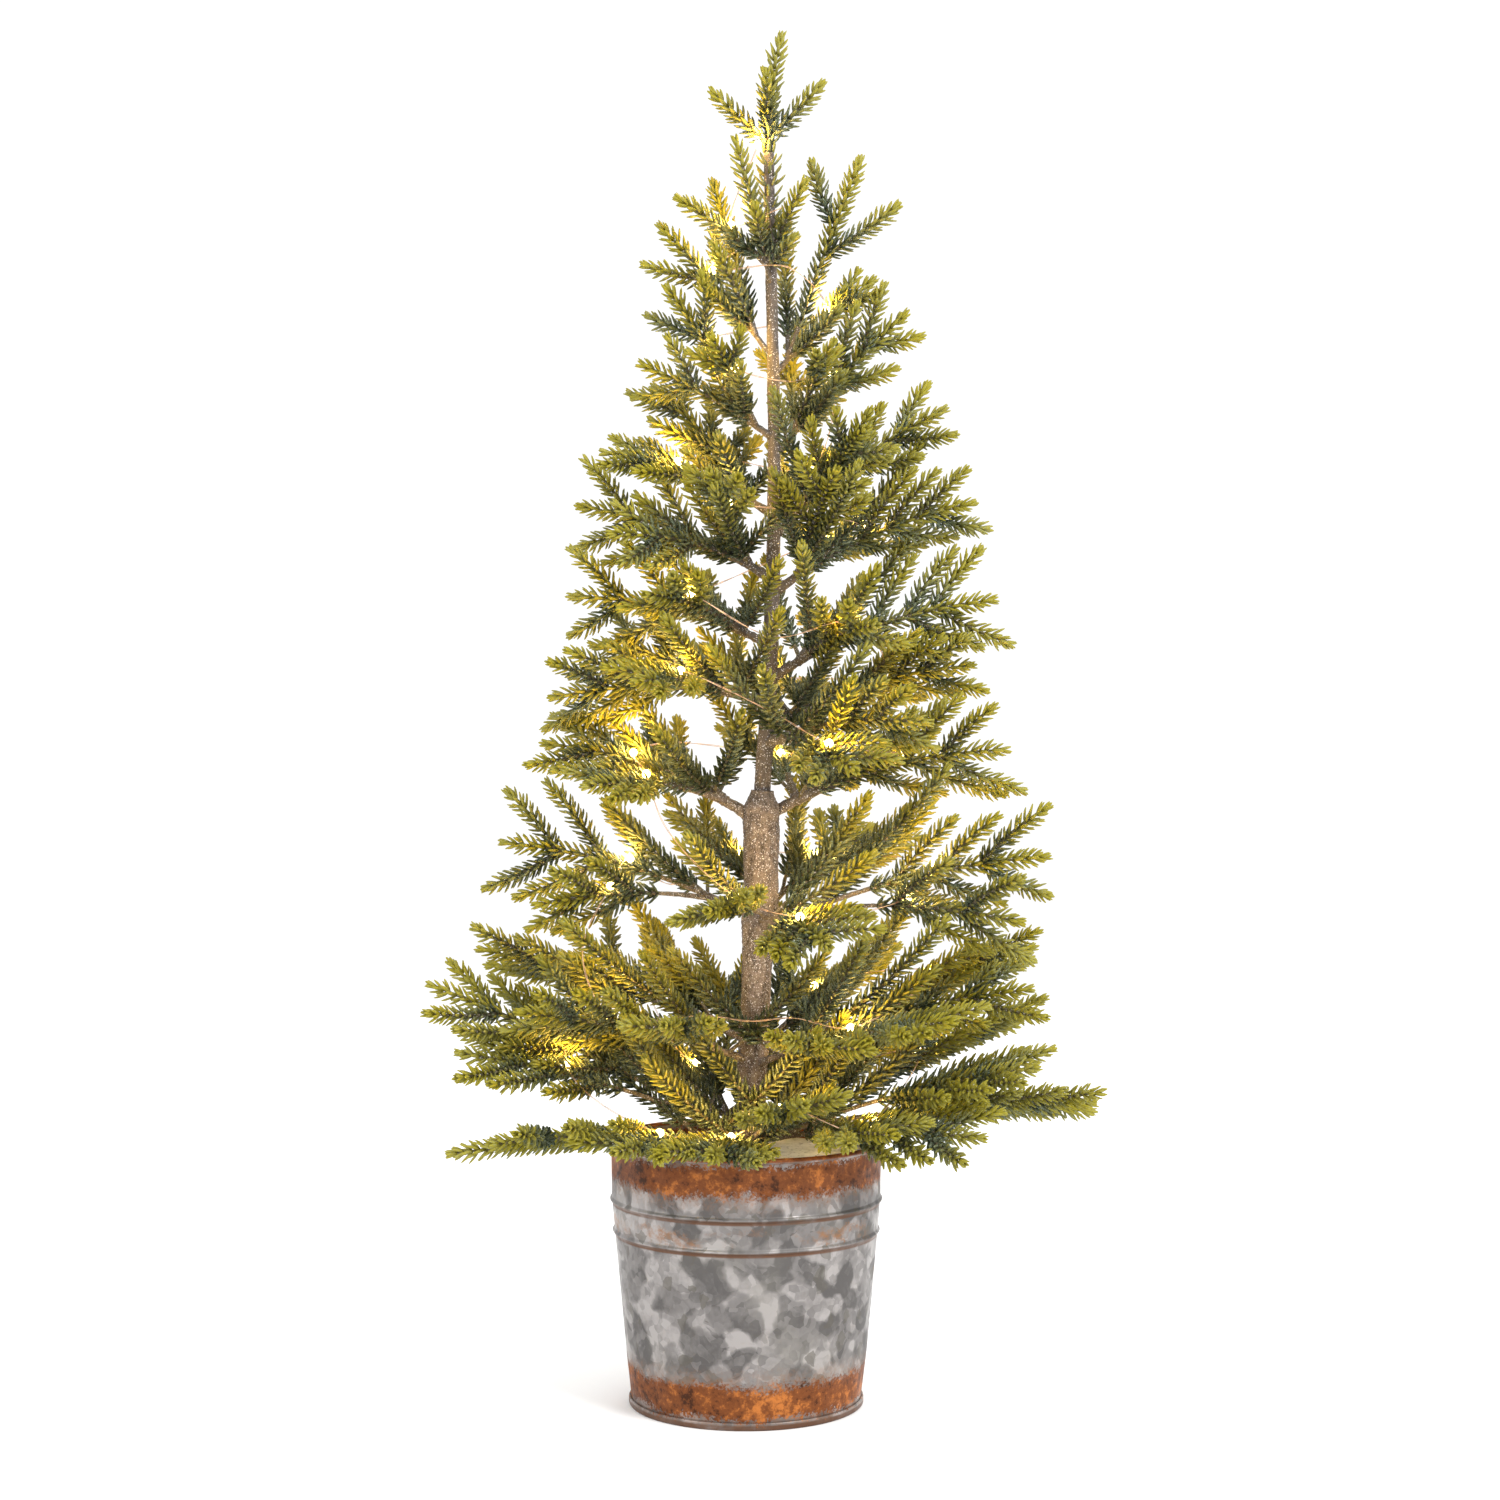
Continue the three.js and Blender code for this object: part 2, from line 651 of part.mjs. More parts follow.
// Whether a line of one branch can meet a line of another while either branch is bent.
function canMeet(one, other) {
  const gap = 2 * BRANCH.sprayRadius + BRANCH.clearance;
  if (one.middle.distanceTo(other.middle) > one.half + other.half + 2 * BRANCH.swing) return false;
  const meetAt = (bend, otherBend) => linesMeet(one.at(bend), other.at(otherBend), gap);
  const ends = [-BRANCH.bend, BRANCH.bend];
  return BENDS.some((bend) => meetAt(bend, 0) || meetAt(0, bend)) || ends.some((bend) => meetAt(bend, bend));
}

// Whether the outer steps of a line meet the trunk, or come down on the bucket or its hook, when bent.
function meetsStand(one) {
  const gap = BRANCH.sprayRadius + BRANCH.clearance;
  const rim = wallRadius(BUCKET.wallTop) + 2 * BUCKET.rimWire + BUCKET.sheet;
  const thick = [
    [trunkPoints.filter((p) => p.z < TRUNK.postTop + 20), TRUNK.postRadii[1]],
    [trunkPoints, TRUNK.leaderRadii[0]],
  ];
  const boxDepth = boxBack + COVER.sheet + COVER.ribProud + BOX.railReach;
  const isLow = (p) => p.z < HOOK.top + gap;
  const low = (p) => isLow(p) && Math.hypot(p.x, p.y) < rim + gap;
  const overBox = (p) => isLow(p) && Math.abs(p.x) < BOX.halfWidth + gap && p.y > 0 && p.y < boxDepth;
  return BENDS.some((bend) => {
    const outer = one.at(bend).slice(1);
    const touches = thick.some(([points, radius]) => linesMeet(outer, points, radius + gap));
    return touches || outer.some((p) => low(p) || overBox(p));
  });
}

// The branches with only those twigs and side sprays that keep clear of everything else as they are bent.
function clearBranches() {
  const placed = BRANCHES.map((_, n) => {
    const branch = branchLines(n);
    return { ...branch, lines: branch.stems.map(({ line }) => movable(line, branch)), kept: [] };
  });
  const others = (n) => placed.filter((_, other) => other !== n).flatMap(({ lines }) => lines);
  const keepIfClear = (n, line) => {
    const candidate = movable(line, placed[n]);
    if (meetsStand(candidate) || others(n).some((other) => canMeet(candidate, other))) return false;
    placed[n].kept.push(line);
    placed[n].lines.push(candidate);
    return true;
  };
  placed.forEach(({ stems }, n) => {
    for (const spray of stems.flatMap(({ sprays }) => sprays)) keepIfClear(n, spray);
  });
  placed.forEach(({ twigs }, n) => {
    for (const twig of twigs) keepIfClear(n, twig);
  });
  return placed;
}

function stemProfile() {
  const { rootRadius, stemRadius, sprayRadius } = BRANCH;
  const outer = [[0.36, stemRadius], [0.46, sprayRadius], [0.78, sprayRadius], [1, 0]];
  return [[0, 0], [0.05, rootRadius], ...outer];
}

function sprayProfile() {
  const { stemRadius, sprayRadius } = BRANCH;
  return [[0, 0], [0, stemRadius * 0.5], [0.25, sprayRadius], [0.8, sprayRadius * 0.8], [1, 0]];
}

const largest = (shape) => shape.decompose().toSorted((a, b) => b.volume() - a.volume())[0];
const joined = (solids) => solids.reduce((made, next) => made.add(next));

function addBranches(stringGroove) {
  clearBranches().forEach(({ stems, kept }, n) => {
    const solids = [
      ...stems.map(({ line }) => solid(swept(line, stemProfile(), BRANCH.stemSides))),
      ...kept.map((spray) => solid(swept(spray, sprayProfile(), BRANCH.spraySides))),
    ];
    const name = `branch_${String(n + 1).padStart(2, "0")}`;
    add(name, largest(joined(solids).subtract(stringGroove)), "needles");
  });
}

// The top of the tree: the leader's tip, with four sprays round it.
function addCrown(stringGroove) {
  const foot = trunkAt(TRUNK.leaderTop).add(point(0, 0, CLEARANCE));
  const tip = new THREE.QuadraticBezierCurve3(foot, ...TIP.map((p) => point(...p)));
  const tips = CROWN.map(([azimuth, reach, rise], k) => {
    const start = tip.getPointAt(0.1 + 0.05 * k);
    const end = start.clone().addScaledVector(heading(azimuth, 0), reach).add(point(0, 0, rise));
    return new THREE.QuadraticBezierCurve3(start, start.clone().lerp(end, 0.5).add(point(0, 0, -2)), end);
  });
  const solids = [tip, ...tips].map((line) => solid(swept(line, sprayProfile(), BRANCH.stemSides)));
  add("crown_spray", largest(joined(solids).subtract(stringGroove)), "needles");
}

// ---- Light string -------------------------------------------------------------------------------

// A place of the string's route. A light rests on top of its stem.
function placeOf({ on, at }) {
  if (at) return point(...at);
  const [branch, stemNumber, share] = on;
  const stem = stemLines(branch - 1)[stemNumber - 1];
  const along = stem.getTangentAt(share);
  const up = along.clone().cross(point(0, 0, 1).cross(along).normalize());
  return stem.getPointAt(share).addScaledVector(up, BRANCH.sprayRadius + STRING.rest);
}

function stringLine() {
  const line = new THREE.CatmullRomCurve3([boxExit, ...ROUTE.map(placeOf)], false, "centripetal");
  line.arcLengthDivisions = 4000;
  return line;
}

// The share of the string's length that is nearest to a point on it.
function nearestShare(line, target) {
  const lengths = line.getLengths();
  let best = 0;
  let least = Infinity;
  for (let i = 0; i < lengths.length; i++) {
    const distance = line.getPoint(i / (lengths.length - 1)).distanceToSquared(target);
    if (distance < least) [best, least] = [lengths[i] / lengths.at(-1), distance];
  }
  return best;
}

// The string's radius along its length: the two twisted wires, with a bead at every light and at the end.
function stringProfile(line, thicker) {
  const { wireRadius, beadRadius, beadLength, step } = STRING;
  const wire = wireRadius + thicker;
  const half = beadLength / 2 / line.getLength();
  const stride = step / line.getLength();
  const places = ROUTE.map((place) => {
    const share = nearestShare(line, placeOf(place));
    return { lit: Boolean(place.on), share };
  });
  const rounds = places.flatMap(({ lit, share }) =>
    lit ? [[share - half, wire], [share, beadRadius + thicker], [share + half, wire]] : [[share, wire]],
  );
  for (let share = stride; share < 1 - stride / 2; share += stride) {
    if (places.every((place) => Math.abs(place.share - share) > 2 * half)) rounds.push([share, wire]);
  }
  const inside = rounds.filter(([share]) => share < 1 - 3 * half).toSorted((a, b) => a[0] - b[0]);
  const lastBead = [[1 - 2 * half, wire], [1 - half, beadRadius + thicker]];
  return [[0, 0], [0, wire], ...inside, ...lastBead, [1, wire], [1, 0]];
}

// ---- Battery box --------------------------------------------------------------------------------

const boxBack = BOX.front + BOX.wall + 2 * (CELL.radius + BOX.slack);
const boxTop = BOX.bottom + 2 * BOX.wall + CELL.count * CELL.pitch + BOX.slack;
const boxExit = point(BOX.exitSide, BOX.front + BOX.exitDepth, boxTop - BOX.wall);
const cellDepth = BOX.front + BOX.wall + CELL.radius + BOX.slack / 2;
const cellHeight = (k) => BOX.bottom + BOX.wall + BOX.slack / 2 + CELL.pitch * (k + 0.5);
const coverFace = boxBack + CLEARANCE;
const railBack = coverFace + COVER.sheet + CLEARANCE + BOX.rail;
const bricks = (...corners) => joined(corners.map(([low, high]) => solid(block(low, high))));

// The hook that goes over the bucket's rim: a back, a top and a tongue inside the wall.
function rimHook() {
  const { half, sheet, top, gap, overlap } = HOOK;
  const inner = wallRadius(BUCKET.wallTop) - BUCKET.sheet - gap;
  const outer = BOX.front + 0.6;
  return bricks(
    [[-half, BOX.front - 1, boxTop - overlap], [half, outer, top]],
    [[-half, inner - sheet, top - sheet], [half, outer, top]],
    [[-half, inner - sheet, FILL.top + 1], [half, inner, top]],
  );
}

// A rail at one side: an upright beside the cover's edge and a lip behind it.
function coverRail(side) {
  const { halfWidth, rail, railReach, bottom, stop } = BOX;
  const [edge, groove] = [side * halfWidth, side * (halfWidth - 1)];
  return bricks(
    [[edge - rail / 2, boxBack - 1, bottom], [edge + rail / 2, railBack, boxTop + stop / 2]],
    [[groove - railReach, railBack - rail, bottom], [groove + railReach, railBack, boxTop + stop / 2]],
  );
}

// The case: a tray with a bay for the cells, a pocket for the switch, and a stop above the cover.
function addBatteryCase() {
  const { front, bottom, halfWidth, wall, bay, stop, exitSide, exitDepth, exitRadius } = BOX;
  const { pocket, pocketFront, skin, slot, slotDepths } = SWITCH;
  const tray = bricks(
    [[-halfWidth, front, bottom], [halfWidth, boxBack, boxTop]],
    [[-halfWidth, front, boxTop - 1], [halfWidth, railBack, boxTop + stop]],
  );
  const beneathStop = bricks([[-halfWidth, boxBack, bottom], [halfWidth, railBack + 1, boxTop]]);
  const holes = bricks(
    [[-bay, front + wall, bottom + wall], [bay, boxBack + 1, boxTop - wall]],
    [[bay + skin, front + pocketFront, pocket[0]], [halfWidth - skin, boxBack + 1, pocket[1]]],
    [[halfWidth - 2, front + slotDepths[0], slot[0]], [halfWidth + 1, front + slotDepths[1], slot[1]]],
  );
  const exitHole = new THREE.CylinderGeometry(exitRadius, exitRadius, 2 * (wall + stop), 8)
    .rotateX(Math.PI / 2)
    .translate(exitSide, front + exitDepth, boxTop);
  const shell = joined([tray.subtract(beneathStop), coverRail(-1), coverRail(1), rimHook()]);
  add("battery_case", shell.subtract(holes).subtract(solid(exitHole)), "plastic");
}

// The cover: a plate in the rails, with grip ribs near its lower edge. It slides down and off.
function addBatteryCover() {
  const { sheet, ribs, ribHalf, ribPitch, ribWidth, ribProud, ribStart } = COVER;
  const half = BOX.halfWidth - BOX.rail / 2 - CLEARANCE;
  const rib = (k) => {
    const low = BOX.bottom + ribStart + ribPitch * k;
    return [[-ribHalf, coverFace + sheet / 2, low], [ribHalf, coverFace + sheet + ribProud, low + ribWidth]];
  };
  const plate = [[-half, coverFace, BOX.bottom], [half, coverFace + sheet, boxTop - CLEARANCE]];
  add("battery_cover", bricks(plate, ...Array.from({ length: ribs }, (_, k) => rib(k))), "plastic");
}

// The cells, turned end for end in turn, each with its nub.
function addCells() {
  const half = CELL.length / 2;
  const { radius, nubRadius, nubLength } = CELL;
  const shoulder = half - nubLength;
  const can = [[0, -half], [radius, -half], [radius, shoulder]];
  const nub = [[nubRadius, shoulder], [nubRadius, half], [0, half]];
  const profile = [...can, ...nub].map((p) => new THREE.Vector2(...p));
  for (let k = 0; k < CELL.count; k++) {
    const cell = new THREE.LatheGeometry(profile, 16);
    cell.rotateZ(k % 2 ? Math.PI / 2 : -Math.PI / 2).translate(0, cellDepth, cellHeight(k));
    add(`battery_cell_${k + 1}`, cell, "cell");
  }
}

// The contact strips at both ends of the bay, with a raised pad for each cell.
function addContacts() {
  const { sheet, half, beyond, padHalf, padProud } = CONTACT;
  const outer = BOX.bay - CLEARANCE;
  for (const [name, side] of [["left", -1], ["right", 1]]) {
    const strip = (from, to, low, high, deep) => {
      const [left, right] = [side * from, side * to].toSorted((a, b) => a - b);
      return [[left, cellDepth - deep, low], [right, cellDepth + deep, high]];
    };
    const heights = Array.from({ length: CELL.count }, (_, k) => cellHeight(k));
    const plate = strip(outer - sheet, outer, heights[0] - beyond, heights.at(-1) + beyond, half);
    const pad = (z) => strip(outer - sheet - padProud, outer - sheet / 2, z - padHalf, z + padHalf, padHalf);
    add(`contact_strip_${name}`, bricks(plate, ...heights.map(pad)), "contact");
  }
}

// The slide switch: its body in the pocket, and the knob that travels in the slot.
function addSwitch() {
  const { body, bodyDepths, knob, knobDepths, knobProud, skin } = SWITCH;
  const depths = (pair) => pair.map((depth) => BOX.front + depth);
  const sides = [BOX.bay + skin + CLEARANCE, BOX.halfWidth - 2 * skin];
  const corners = ([x0, x1], [y0, y1], [z0, z1]) => block([x0, y0, z0], [x1, y1, z1]);
  add("switch_body", corners(sides, depths(bodyDepths), body), "contact");
  const knobSides = [sides[1] + CLEARANCE, BOX.halfWidth + knobProud];
  add("switch_knob", corners(knobSides, depths(knobDepths), knob), "plastic");
}

// ---- Assembly -----------------------------------------------------------------------------------

addBucket();
addFill();
addTrunk();
addBatteryCase();
addBatteryCover();
addCells();
addContacts();
addSwitch();
const route = stringLine();
add("led_string", swept(route, stringProfile(route, 0), STRING.sides), "copper");
const groove = solid(swept(route, stringProfile(route, CLEARANCE), STRING.sides));
addBranches(groove);
addCrown(groove);

export default root;
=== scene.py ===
"""A slim artificial spruce in a rusted galvanised bucket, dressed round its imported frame."""

import json
import math

import bpy
import numpy as np
from bpy.props import FloatProperty, FloatVectorProperty, IntProperty, PointerProperty
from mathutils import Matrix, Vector


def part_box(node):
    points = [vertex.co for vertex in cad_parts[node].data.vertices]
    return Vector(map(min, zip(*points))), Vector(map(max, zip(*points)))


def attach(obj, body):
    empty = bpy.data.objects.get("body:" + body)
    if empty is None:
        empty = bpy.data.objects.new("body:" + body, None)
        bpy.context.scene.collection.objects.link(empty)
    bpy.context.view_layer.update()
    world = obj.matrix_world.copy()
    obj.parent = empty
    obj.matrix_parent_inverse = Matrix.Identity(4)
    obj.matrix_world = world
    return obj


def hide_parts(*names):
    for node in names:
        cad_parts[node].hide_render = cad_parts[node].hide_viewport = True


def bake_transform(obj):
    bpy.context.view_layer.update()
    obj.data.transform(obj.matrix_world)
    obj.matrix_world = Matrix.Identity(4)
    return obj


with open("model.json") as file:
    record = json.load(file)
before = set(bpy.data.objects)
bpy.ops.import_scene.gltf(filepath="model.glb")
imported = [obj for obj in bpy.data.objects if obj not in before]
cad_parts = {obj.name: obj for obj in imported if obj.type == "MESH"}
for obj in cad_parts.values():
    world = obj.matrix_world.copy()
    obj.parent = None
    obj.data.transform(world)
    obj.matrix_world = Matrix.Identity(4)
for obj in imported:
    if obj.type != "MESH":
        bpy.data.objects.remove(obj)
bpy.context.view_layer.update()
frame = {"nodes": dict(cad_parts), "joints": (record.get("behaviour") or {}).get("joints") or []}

bl_info = {
    "name": "Tabletop spruce in a bucket",
    "version": (1, 0, 0),
    "blender": (4, 5, 0),
    "location": "3D View > Sidebar > Spruce",
    "description": "Builds the needles, bark, bucket, lights and battery box of a small artificial tree",
    "category": "Add Mesh",
}

MM = 0.001
TREE = "tree"  # the body that holds the bucket, the trunk and the string
UP = np.array([0.0, 0.0, 1.0])

# ---- The layout of the tree, in millimetres ------------------------------------------------------

TRUNK_FOOT = 2.0  # how far right of the bucket's middle the trunk stands
TRUNK_LINE = [
    (2, 0, 70),
    (2, 0, 131),
    (4.4, 0, 200),
    (7.6, 0, 262),
    (8.2, 0, 316),
    (11.4, 0.6, 362),
    (13.6, 0, 420),
    (14.8, -0.6, 480),
    (14, 0, 545),
    (12.8, 0, 600),
    (11.8, 0, 652),
]
FORK_SHARE = 0.1  # of the first stem's length, where the others leave it

# A stem arches up by a share of its span. Those halfway up the tree arch more.
STEM = {
    "arch": 0.05,
    "more_arch": 0.07,
    "steeper_from": (180, 320),
    "steeper_to": (430, 540),
    "bent_at": 0.45,
}

SPRAY = {
    "shares": (0.36, 0.86),  # of its stem's length, between which side sprays grow
    "leans": (52, 34),  # degrees from the stem, at the spray's foot and at its tip
    "bent_at": 0.4,
    "lengths": (20, 46),  # shortest and longest
    "length_share": 0.5,  # of the stem's length, less towards the stem's tip
    "shorter": 0.2,
    "spread": (0.88, 1.12),  # how far lengths differ from each other
    # The fan of a stem's sprays is turned by so many degrees, less on the lowest branches.
    "rolls": (22, 72),
    "flat": 0.4,
    "flat_below": (150, 260),
}

# How far the short twigs below differ from each other, as shares, and in degrees for their turns.
TWIG = {
    "shortest": 18,
    "reaches": (0.85, 1.15),
    "rises": (0.85, 1.2),
    "starts": (0.07, 0.2),
    "turns": 14,
    "sag": 0.12,
    # Below low, none grows within so many degrees of the front. Above high, none turns back further.
    "low": 300,
    "front_gap": 34,
    "high": 480,
    "widest": 60,
}

# The short twigs that fill the inside of every branch: the azimuth from the branch's own, the share of its
# first stem's reach, and the rise as a share of the twig's reach.
TWIGS = [(-104, 0.44, 0.9), (-52, 0.56, 0.65), (0, 0.46, 1.05), (52, 0.56, 0.65), (104, 0.44, 0.9)]

# Every branch: the height of its root, then its stems, which fork from that root.
# A stem is (azimuth in degrees, reach from the trunk's foot, height of its tip, pairs of side sprays).
BRANCHES = [
    (139, (184, 163, 217, 4), (196, 150, 186, 3)),
    (136, (216, 152, 148, 3), (238, 120, 146, 2)),
    (135, (260, 104, 144, 3), (284, 104, 168, 2)),
    (137, (308, 112, 152, 2), (328, 132, 148, 3)),
    (140, (-4, 175, 157, 4), (12, 150, 199, 3), (-20, 150, 180, 3)),
    (138, (48, 135, 180, 3), (80, 125, 168, 3)),
    (139, (112, 125, 176, 3), (146, 140, 192, 3)),
    (190, (174, 140, 234, 3), (146, 118, 238, 2)),
    (180, (206, 125, 208, 3), (246, 100, 206, 2)),
    (178, (322, 124, 206, 3), (292, 98, 196, 2)),
    (184, (-6, 142, 216, 3), (10, 150, 234, 3)),
    (178, (60, 118, 222, 3), (104, 115, 215, 2)),
    (256, (175, 127, 291, 3), (200, 112, 262, 2)),
    (253, (290, 108, 246, 3), (258, 92, 262, 2)),
    (250, (1, 152, 284, 3), (-20, 142, 254, 2)),
    (254, (54, 115, 296, 3), (104, 110, 290, 2)),
    (308, (180, 104, 343, 3), (212, 95, 322, 2), (140, 90, 345, 2)),
    (308, (-6, 130, 340, 3), (40, 110, 335, 2), (85, 90, 345, 2)),
    (345, (303, 92, 331, 2), (332, 98, 354, 2)),
    (352, (2, 113, 384, 3), (60, 90, 372, 2), (98, 80, 385, 2)),
    (366, (184, 100, 368, 3), (226, 80, 374, 2), (158, 88, 396, 2)),
    (380, (0, 124, 418, 3), (-44, 85, 402, 2), (50, 80, 410, 2)),
    (397, (180, 90, 420, 2), (226, 72, 418, 2), (130, 75, 425, 2)),
    (425, (-2, 113, 468, 3), (-54, 72, 478, 2), (50, 80, 455, 2)),
    (431, (178, 86, 467, 2), (206, 76, 450, 2), (250, 56, 478, 2)),
    (455, (-5, 98, 515, 2), (-42, 76, 500, 2), (48, 62, 500, 2)),
    (465, (186, 73, 494, 2), (150, 56, 532, 2), (110, 55, 510, 2)),
    (498, (2, 79, 566, 2), (-38, 52, 545, 1), (60, 45, 552, 1)),
    (505, (182, 54, 540, 1), (190, 42, 578, 1), (244, 42, 548, 1)),
    (540, (2, 62, 584, 1), (6, 57, 647, 1), (62, 38, 622, 0)),
    (550, (178, 45, 612, 1), (236, 30, 596, 0), (124, 34, 640, 0)),
    (586, (251, 20, 651, 0), (198, 36, 624, 0), (318, 36, 629, 0)),
]

# The sprays round the leader's tip: azimuth, reach and rise.
CROWN = [(178, 27, 24), (4, 26, 26), (262, 14, 24), (90, 14, 22)]
CROWN_BEND = (11.6, 0, 684)
CROWN_TIP = (17.7, 0, 710)


def light(branch, stem, share):
    """A light of the string, on top of a stem at a share of its length."""
    return {"on": (branch, stem, share), "lit": True}


def past(x, y, z, lit=False):
    """A place that the string goes by, in millimetres, as bare wire unless a light is there."""
    return {"at": (x, y, z), "lit": lit}


# The string's way up the tree from the battery box.
ROUTE = [
    past(12, 81.6, 122.4),
    past(12, 81.6, 130),
    past(12, 80, 136),
    past(12, 76, 142),
    past(12, 66, 146),
    light(6, 1, 0.5),
    light(5, 2, 0.55),
    light(4, 2, 0.5),
    past(52, -62, 150),
    light(3, 2, 0.62),
    light(3, 1, 0.55),
    light(2, 2, 0.6),
    light(1, 2, 0.6),
    light(8, 1, 0.6),
    past(-62, 40, 222),
    light(7, 1, 0.6),
    light(12, 1, 0.6),
    light(11, 2, 0.6),
    light(10, 1, 0.5),
    past(24, -30, 203),
    past(2, -26, 201),
    past(-20, -28, 204),
    light(9, 1, 0.62),
    past(-84, -24, 236),
    light(13, 2, 0.62),
    light(13, 1, 0.5),
    past(-40, 34, 268),
    light(16, 2, 0.5),
    light(16, 1, 0.5),
    light(15, 1, 0.6),
    light(15, 2, 0.5),
    light(14, 1, 0.6),
    light(14, 2, 0.55),
    past(-40, -44, 300),
    light(17, 2, 0.6),
    light(17, 1, 0.6),
    past(-40, 26, 344),
    light(18, 3, 0.5),
    light(18, 1, 0.6),
    light(19, 1, 0.7),
    past(12, -34, 360),
    light(21, 2, 0.6),
    light(21, 1, 0.5),
    past(-24, 34, 386),
    light(20, 3, 0.5),
    light(20, 1, 0.6),
    light(22, 2, 0.7),
    past(14, -26, 398),
    light(23, 2, 0.6),
    light(23, 1, 0.5),
    past(-16, 24, 428),
    light(24, 3, 0.6),
    light(24, 1, 0.5),
    past(36, -24, 462),
    light(25, 3, 0.6),
    light(27, 1, 0.6),
    past(-10, 20, 494),
    light(26, 3, 0.6),
    light(28, 1, 0.5),
    past(22, -18, 530),
    light(29, 3, 0.6),
    light(29, 2, 0.6),
    past(2, 14, 562),
    light(30, 1, 0.6),
    past(22, -12, 590),
    light(31, 1, 0.6),
    past(4, 12, 608),
    past(21, 8, 614),
    past(22, -9, 622),
    light(32, 2, 0.5),
    past(6, -6, 655, lit=True),
]
STRING_REST = 2.3 + 2.1  # from the middle of a stem to the middle of the string on top of it


# ---- Settings ------------------------------------------------------------------------------------


class SPRUCE_PG_needles(bpy.types.PropertyGroup):
    length: FloatProperty(
        name="Needle length", description="Length of a full-grown needle", default=8.2 * MM, unit="LENGTH"
    )
    half_width: FloatProperty(
        name="Needle half width", description="Half of a needle's width", default=0.94 * MM, unit="LENGTH"
    )
    whorl: IntProperty(name="Whorl", description="Needles side by side round the twig", default=6, min=3)
    pitch: FloatProperty(
        name="Whorl spacing", description="Twig length between whorls", default=3.7 * MM, unit="LENGTH"
    )
    twig_radius: FloatProperty(
        name="Twig radius", description="Radius of a side spray's twig", default=0.95 * MM, unit="LENGTH"
    )
    # The inner colour is the needles' own dark green, darkened further with painted shade of the tree's
    # interior.
    inner_colour_and_shade: FloatVectorProperty(
        name="Inner needles", description="Colour near the trunk", subtype="COLOR", size=3,
        default=(0.022, 0.031, 0.009),
    )
    outer_colour: FloatVectorProperty(
        name="Outer needles", description="Colour at the ends of the sprays", subtype="COLOR", size=3,
        default=(0.31, 0.268, 0.017),
    )
    # The frost colour is also laid on whole patches of sprays, as a painted highlight of sprays lit from the
    # front.
    frost_and_highlight_colour: FloatVectorProperty(
        name="Frost", description="Colour of the frosting on the needles", subtype="COLOR", size=3,
        default=(0.285, 0.335, 0.235),
    )


class SPRUCE_PG_bark(bpy.types.PropertyGroup):
    colour: FloatVectorProperty(
        name="Bark", description="Colour of the bark coating", subtype="COLOR", size=3,
        default=(0.185, 0.140, 0.108),
    )
    crevice_colour: FloatVectorProperty(
        name="Crevices", description="Colour between the grains of the coating", subtype="COLOR", size=3,
        default=(0.030, 0.021, 0.016),
    )
    dust_colour: FloatVectorProperty(
        name="Dust", description="Colour of the finer grains", subtype="COLOR", size=3,
        default=(0.36, 0.29, 0.25),
    )
    leader_colour: FloatVectorProperty(
        name="Leader", description="Colour of the bark above the thick post", subtype="COLOR", size=3,
        default=(0.085, 0.070, 0.056),
    )
    twig_colour: FloatVectorProperty(
        name="Twigs", description="Colour of the wrapping along the twigs", subtype="COLOR", size=3,
        default=(0.105, 0.090, 0.022),
    )


class SPRUCE_PG_bucket(bpy.types.PropertyGroup):
    segments: IntProperty(name="Segments", description="Facets round the bucket", default=144, min=24)
    zinc: FloatVectorProperty(
        name="Zinc", description="Middle tone of the galvanised sheet", subtype="COLOR", size=3,
        default=(0.205, 0.192, 0.186),
    )
    rust: FloatVectorProperty(
        name="Rust", description="Colour of the rusted bands", subtype="COLOR", size=3,
        default=(0.17, 0.050, 0.012),
    )
    bright_rust: FloatVectorProperty(
        name="Bright rust", description="Colour of the freshest rust", subtype="COLOR", size=3,
        default=(0.47, 0.155, 0.032),
    )


class SPRUCE_PG_lights(bpy.types.PropertyGroup):
    wire_radius: FloatProperty(
        name="Wire radius", description="Radius of one of the two wires", default=0.16 * MM, unit="LENGTH"
    )
    bead_length: FloatProperty(
        name="Bead length", description="Length of a light's resin bead", default=4.6 * MM, unit="LENGTH"
    )
    glow: FloatProperty(name="Glow", description="Power of one light", default=0.1, unit="POWER")
    colour: FloatVectorProperty(
        name="Light colour", description="Colour of the lights", subtype="COLOR", size=3,
        default=(1.0, 0.62, 0.14),
    )


class SPRUCE_PG_settings(bpy.types.PropertyGroup):
    needles: PointerProperty(type=SPRUCE_PG_needles, name="Needles", description="Needle sprays")
    bark: PointerProperty(type=SPRUCE_PG_bark, name="Bark", description="Trunk and twigs")
    bucket: PointerProperty(type=SPRUCE_PG_bucket, name="Bucket", description="Bucket and fill")
    lights: PointerProperty(type=SPRUCE_PG_lights, name="Lights", description="Light string")


def settings():
    """The sizes and colours that a user may change."""
    return bpy.context.scene.spruce


# ---- Numbers and lines ---------------------------------------------------------------------------


def mix(a, b, share):
    """The value a share of the way from a to b."""
    return a + (b - a) * share


def smoothstep(value, low, high):
    """Goes smoothly from 0 to 1 as value goes from low to high."""
    share = min(max((value - low) / (high - low), 0.0), 1.0)
    return share * share * (3 - 2 * share)


def chance(n, use):
    """A repeatable number from 0 to 1 for item n, a different one for each use."""
    wave = math.sin(12.9898 * (n + 1) + 78.233 * (use + 1)) * 43758.5453
    return wave - math.floor(wave)


def heading(azimuth, slope=0.0):
    """The direction at a slope above the horizon, both in degrees."""
    a, s = math.radians(azimuth), math.radians(slope)
    return np.array([math.cos(a) * math.cos(s), math.sin(a) * math.cos(s), math.sin(s)])


def unit(vector):
    return vector / np.linalg.norm(vector)


